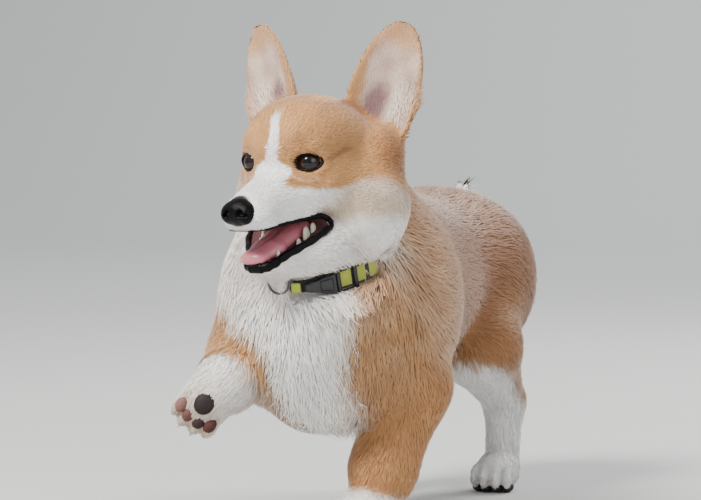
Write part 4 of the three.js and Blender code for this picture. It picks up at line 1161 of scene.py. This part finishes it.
enamel, tree, shader = material("enamel", 0.22, Base_Color=(0.78, 0.72, 0.58, 1),
                                Subsurface_Weight=0.2, Subsurface_Radius=(0.002, 0.0015, 0.001))
stain = texture(tree, "ShaderNodeTexNoise", Scale=420.0)
stain_ramp = make(tree, "ShaderNodeMix", data_type="RGBA")
stain_ramp.inputs[6].default_value = (0.62, 0.54, 0.38, 1)
stain_ramp.inputs[7].default_value = (0.84, 0.80, 0.68, 1)
tree.links.new(stain.outputs["Fac"], stain_ramp.inputs[0])
tree.links.new(stain_ramp.outputs[2], shader.inputs["Base Color"])
tooth_points, tooth_faces = [], []
for s in (1, -1):
    small = [(19.5 + 2.2 * (2 - k), s * (2.2 + 3.2 * k)) for k in range(3)]
    row = [((15, s * 12.6, -83), (18, s * 13.4, -70), 2.2, 1.9)]
    row += [((forward, left, -88), (forward + 3, left, -79), 1.4, 1.5) for forward, left in small]
    row += [((-21, s * 22.5, -60), (-20, s * 21, -48.5), 4.4, 2.2),
            ((-12.5, s * 21.5, -66), (-11.5, s * 20, -51.5), 5.2, 2.2),
            ((-4, s * 19.5, -70), (-3, s * 18.8, -61.5), 3.6, 1.7)]
    for root, tip, width, depth in row:
        add_part(tooth_points, tooth_faces, *tooth(on_head(*root), on_head(*tip), width, depth))
loose_piece("teeth", np.array(tooth_points), tooth_faces, enamel, "tooth")

# ------------------------------------------------------------------ paws
# Paws: curved claws of pale horn, and the bare leathery pads that show under the lifted right
# forepaw. The claws are tapered tubes and the pads flattened balls, half sunk in the fur.
PAD_LIFT = 0.1
TOE_TINTS = {-0.66: (0.19, 0.095, 0.075), -0.24: (0.11, 0.05, 0.042), 0.24: (0.03, 0.018, 0.016),
             0.66: (0.07, 0.024, 0.021)}
claw_points, claw_faces, pad_points, pad_faces, pad_tints = [], [], [], [], []


def dome(centre, radii, turn, rows=10, columns=16):
    points = []
    for polar in math.pi * np.arange(rows + 1) / rows:
        for a in 2 * math.pi * np.arange(columns) / columns:
            local = np.array([math.cos(a) * math.sin(polar), math.sin(a) * math.sin(polar), math.cos(polar)])
            points.append(centre + turn @ (local * radii))
    return points, [(a, d, c, b) for a, b, c, d in lattice(rows, columns)]


def add_pad(at, radii, turn, lifted, tint):
    """One pad; those of a standing paw rest just over the floor."""
    if not lifted:
        at[2] = radii[2] + PAD_LIFT
    points, faces = dome(at, radii, turn)
    add_part(pad_points, pad_faces, points, faces)
    pad_tints.extend([tint] * len(points))


for name in paws:
    size, turn = np.array(paws[name][1], float), paws[name][2]
    lifted = name == "fore_right"
    for toe in TOES:
        ahead = toe_ahead(toe)
        run = np.linspace(0, 1, 7)
        path = np.array([on_paw(name, toe * 1.05, ahead * (0.98 + 0.26 * t), -0.05 - 0.42 * t * t)
                         for t in run])
        if not lifted:
            path[:, 2] = np.maximum(path[:, 2], 1.2)
        add_part(claw_points, claw_faces, *swept(path, 2.0 * (1 - run ** 1.6) + 0.25, 7))
        add_pad(on_paw(name, toe * 0.92, ahead * 0.62, -0.60), np.array([0.19, 0.25, 0.15]) * size.max(), turn,
                lifted, TOE_TINTS[toe] if lifted else (0.03, 0.022, 0.021))
    add_pad(on_paw(name, 0, 0.02, -0.84), size * (0.36, 0.36, 0.24), turn, lifted, (0.022, 0.016, 0.015))
horn, _, _ = material("claw_horn", 0.35, Base_Color=(0.55, 0.47, 0.38, 1))
loose_piece("claws", np.array(claw_points), claw_faces, horn, "bare_skin")
pad_skin, tree, shader = material("pad_leather", 0.62, Specular_IOR_Level=0.18)
pad_noise = texture(tree, "ShaderNodeTexNoise", Scale=260.0, Detail=4.0)
pad_cells = texture(tree, "ShaderNodeTexVoronoi", Scale=1100.0)
pad_paint = make(tree, "ShaderNodeAttribute", attribute_name="pad")
pad_mix = make(tree, "ShaderNodeVectorMath", operation="SCALE")
pad_range = make(tree, "ShaderNodeMapRange", To_Min=0.6, To_Max=1.4)
tree.links.new(pad_noise.outputs["Fac"], pad_range.inputs["Value"])
tree.links.new(pad_paint.outputs["Color"], pad_mix.inputs[0])
tree.links.new(pad_range.outputs["Result"], pad_mix.inputs["Scale"])
tree.links.new(pad_mix.outputs[0], shader.inputs["Base Color"])
relief(tree, shader, pad_cells.outputs["Distance"], 0.6, 0.0004)
paint(loose_piece("pads", np.array(pad_points), pad_faces, pad_skin, "bare_skin"), "pad", np.array(pad_tints))

# ------------------------------------------------------------------ collar
# Collar: flat woven webbing in yellow-green and black checks, sunk in the ruff, with a moulded
# slider and a side-release buckle of black plastic, a small webbing loop and a ring of dull steel.
def collar_point(angle, lift, rise):
    ahead = BAND_AHEAD if math.cos(angle) > 0 else BAND_BEHIND
    return (COLLAR_AT + COLLAR_LEFT * math.sin(angle) * (BAND_SIDE + lift)
            + COLLAR_FRONT * math.cos(angle) * (ahead + lift) + COLLAR_UP * rise)


TURNS, ACROSS = 220, 9
strap_points, strap_uv = [], []
for i in range(TURNS):
    a = 2 * math.pi * i / TURNS
    sunk = 6.5 * float(ramp(abs((a - 0.58 + math.pi) % (2 * math.pi) - math.pi), 0.52, 0.72))
    narrow = float(ramp(0.5 - a, 0.05, 0.25) + ramp(a, 5.6, 5.9))
    for j in range(2 * ACROSS):
        outer = j < ACROSS
        k = j if outer else 2 * ACROSS - 1 - j
        rise = (k / (ACROSS - 1) - 0.5) * (17 - 7 * narrow)
        edge = 0.5 * (abs(rise) / 8.5) ** 8
        strap_points.append(collar_point(a, ((2.4 - edge) if outer else (0.2 + edge)) - sunk, rise))
        strap_uv.append((0.0 if a < 0.5 or a > 5.6 else a * BAND_MEAN / 1000 + 0.0082, rise / 1000 + 0.0085, 0))
strap_faces = [(a, d, c, b) for a, b, c, d in lattice(TURNS, 2 * ACROSS, closed=True)]
webbing, tree, shader = material("woven_webbing", 0.8, Sheen_Weight=0.25)
strap_place = make(tree, "ShaderNodeAttribute", attribute_name="strap")
check = make(tree, "ShaderNodeTexBrick", Scale=1.0, offset=0.0, Mortar_Size=0.0021, Mortar_Smooth=0.1,
             Brick_Width=0.0135, Row_Height=0.017, Color1=(0.40, 0.45, 0.05, 1),
             Color2=(0.46, 0.50, 0.07, 1), Mortar=(0.012, 0.012, 0.011, 1))
weave = make(tree, "ShaderNodeTexWave", Scale=900.0, Distortion=0.4)
weave_across = make(tree, "ShaderNodeTexWave", Scale=900.0, bands_direction="Y")
weave_both = make(tree, "ShaderNodeMath", operation="MULTIPLY")
for target in (check, weave, weave_across):
    tree.links.new(strap_place.outputs["Vector"], target.inputs["Vector"])
tree.links.new(weave.outputs["Fac"], weave_both.inputs[0])
tree.links.new(weave_across.outputs["Fac"], weave_both.inputs[1])
relief(tree, shader, weave_both.outputs[0], 0.5, 0.0004)
tree.links.new(check.outputs["Color"], shader.inputs["Base Color"])
strap = loose_piece("collar_webbing", np.array(strap_points), strap_faces, webbing, "webbing")
paint(strap, "strap", np.array(strap_uv), "FLOAT_VECTOR")
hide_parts("collar_band")


def moulded(name, panels, angle, lift, made, bevel=0.0007):
    """Rounded blocks in the collar's own frame: centre and size along, up and out, and the taper."""
    along = unit(collar_point(angle + 0.02, 0, 0) - collar_point(angle - 0.02, 0, 0))
    out = unit(np.cross(along, COLLAR_UP))
    if out @ (collar_point(angle, 0, 0) - COLLAR_AT) < 0:
        out = -out
    at = collar_point(angle, 2.7, 0)
    block = bmesh.new()
    for centre, size, taper in panels:
        corner = []
        for x in (-0.5, 0.5):
            for y in (-0.5, 0.5):
                for z in (0, 1):
                    wide = size[1] * (taper if x > 0 else 1.0)
                    p = at + along * (centre[0] + x * size[0]) + COLLAR_UP * (centre[1] + y * wide) + out * (
                        lift + centre[2] + z * size[2])
                    corner.append(block.verts.new(tuple(to_frame(p))))
        for quad in ((0, 1, 3, 2), (4, 6, 7, 5), (0, 4, 5, 1), (2, 3, 7, 6), (0, 2, 6, 4), (1, 5, 7, 3)):
            block.faces.new([corner[q] for q in quad])
    bmesh.ops.recalc_face_normals(block, faces=block.faces)
    bmesh.ops.bevel(block, geom=block.edges[:], offset=bevel, segments=3, affect="EDGES", profile=0.5)
    mesh = bpy.data.meshes.new(name)
    block.to_mesh(mesh)
    block.free()
    return bound(name, mesh, made)


plastic, tree, shader = material("black_plastic", 0.38, Base_Color=(0.014, 0.014, 0.016, 1))
plastic_noise = texture(tree, "ShaderNodeTexNoise", Scale=2200.0)
relief(tree, shader, plastic_noise.outputs["Fac"], 0.15, 0.0002)
slider_bars = [((s * 7.9, 0, 0), (3.2, 23, 3), 1) for s in (-1, 1)]
slider_bars += [((0, s * 10, 0), (18, 3, 3), 1) for s in (1, -1)]
slider = moulded("slider", slider_bars, 0.7, 0, plastic)
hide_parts("collar_slider")
buckle = moulded("buckle", [((0, 0, 0), (26, 6.5, 5.0), 2.6), ((5, 0, 4.8), (11, 8, 0.7), 1.4)],
                 0.4, 0, plastic, 0.0009)
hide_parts("collar_buckle")
loop = moulded("webbing_loop", [((0, 0, 0), (8, 9, 3.2), 0.85)], 0.12, 0, webbing, 0.0008)
loop_points = np.array([v.co for v in loop.data.vertices])
paint(loop, "strap", loop_points * 0.02 + (0.0068, 0.0085, 0), "FLOAT_VECTOR")
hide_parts("collar_loop")
steel, tree, shader = material("dull_steel", 0.38, Base_Color=(0.13, 0.12, 0.12, 1), Metallic=1.0)
steel_noise = texture(tree, "ShaderNodeTexNoise", Scale=1500.0)
steel_rough = make(tree, "ShaderNodeMapRange", To_Min=0.25, To_Max=0.55)
tree.links.new(steel_noise.outputs["Fac"], steel_rough.inputs["Value"])
tree.links.new(steel_rough.outputs["Result"], shader.inputs["Roughness"])
ring_at = collar_point(-0.05, 2.4 + 5.0, 6)
ring_turn = np.linspace(0, 2 * math.pi, 48, endpoint=False)
ring_path = np.array([ring_at + (9 * math.cos(a), 0.9 * math.cos(a), 9 * math.sin(a)) for a in ring_turn])
ring = loose_piece("ring", *swept(ring_path, np.full(48, 0.95), 12, closed=True, up=(0, 1, 0)), steel,
                   "metal")
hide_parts("collar_ring")

# ------------------------------------------------------------------ stage
# Studio: a plain pale floor that sweeps up far behind the dog, soft lights, and the camera at the
# photo's own place and lens. Only the floor is a surface; it carries no part of the dog.
FLOOR_HALF, SWEEP_AT, SWEEP_RADIUS = 9.0, 5.5, 3.5
profile = [(-FLOOR_HALF, 0.0), (SWEEP_AT, 0.0)]
profile += [(SWEEP_AT + SWEEP_RADIUS * math.sin(a), SWEEP_RADIUS - SWEEP_RADIUS * math.cos(a))
            for a in np.linspace(0.05, math.pi / 2, 24)] + [(9.0, 9.0)]
sweep = [(x, y, z) for y, z in profile for x in (-FLOOR_HALF, FLOOR_HALF)]
floor_mesh = bpy.data.meshes.new("floor")
floor_mesh.from_pydata(sweep, [], [(2 * i, 2 * i + 1, 2 * i + 3, 2 * i + 2) for i in range(len(profile) - 1)])
floor_mesh.polygons.foreach_set("use_smooth", np.full(len(floor_mesh.polygons), True))
floor_mesh.materials.append(material("pale_floor", 0.9, Base_Color=(0.56, 0.57, 0.56, 1))[0])
floor = new_object("floor", floor_mesh)


def area_light(name, at, target, size, energy, colour):
    lamp = bpy.data.lights.new(name, "AREA")
    lamp.shape, lamp.size, lamp.energy, lamp.color = "DISK", size, energy, colour
    holder = new_object(name, lamp)
    holder.location = at
    holder.rotation_euler = (Vector(target) - Vector(at)).to_track_quat("-Z", "Y").to_euler()


area_light("key", (-0.9, -1.9, 2.3), (0, -0.1, 0.2), 1.1, 168, (1.0, 0.97, 0.93))
area_light("fill", (2.4, -1.6, 1.3), (0, 0, 0.2), 2.0, 26, (0.93, 0.96, 1.0))
area_light("rim", (0.9, 1.9, 1.9), (0, 0, 0.25), 1.4, 60, (1.0, 0.98, 0.95))
area_light("backdrop", (0, 3.5, 5.5), (0, 9, 1.5), 3.0, 300, (1.0, 1.0, 1.0))
world = bpy.data.worlds.new("studio")
world.use_nodes = True
sky = world.node_tree.nodes["Background"].inputs
sky["Color"].default_value, sky["Strength"].default_value = (0.93, 0.95, 1.0, 1), 0.62
bpy.context.scene.world = world

PHOTO_WIDTH, FOCAL_LENGTH, HORIZON_RISE = 701, 3000, 122
VIEW_TURN, VIEW_DROP = math.radians(20), math.atan(HORIZON_RISE / FOCAL_LENGTH)
camera_data = bpy.data.cameras.new("camera")
camera_data.sensor_width = 36.0
camera_data.lens = 36.0 * FOCAL_LENGTH / PHOTO_WIDTH
camera_data.clip_end = 50
camera = new_object("camera", camera_data)
camera.location = to_frame([887.6, -2497.0, 340.0])
view = Vector((-math.sin(VIEW_TURN) * math.cos(VIEW_DROP), math.cos(VIEW_TURN) * math.cos(VIEW_DROP),
               -math.sin(VIEW_DROP)))
camera.rotation_euler = view.to_track_quat("-Z", "Y").to_euler()
bpy.context.scene.camera = camera
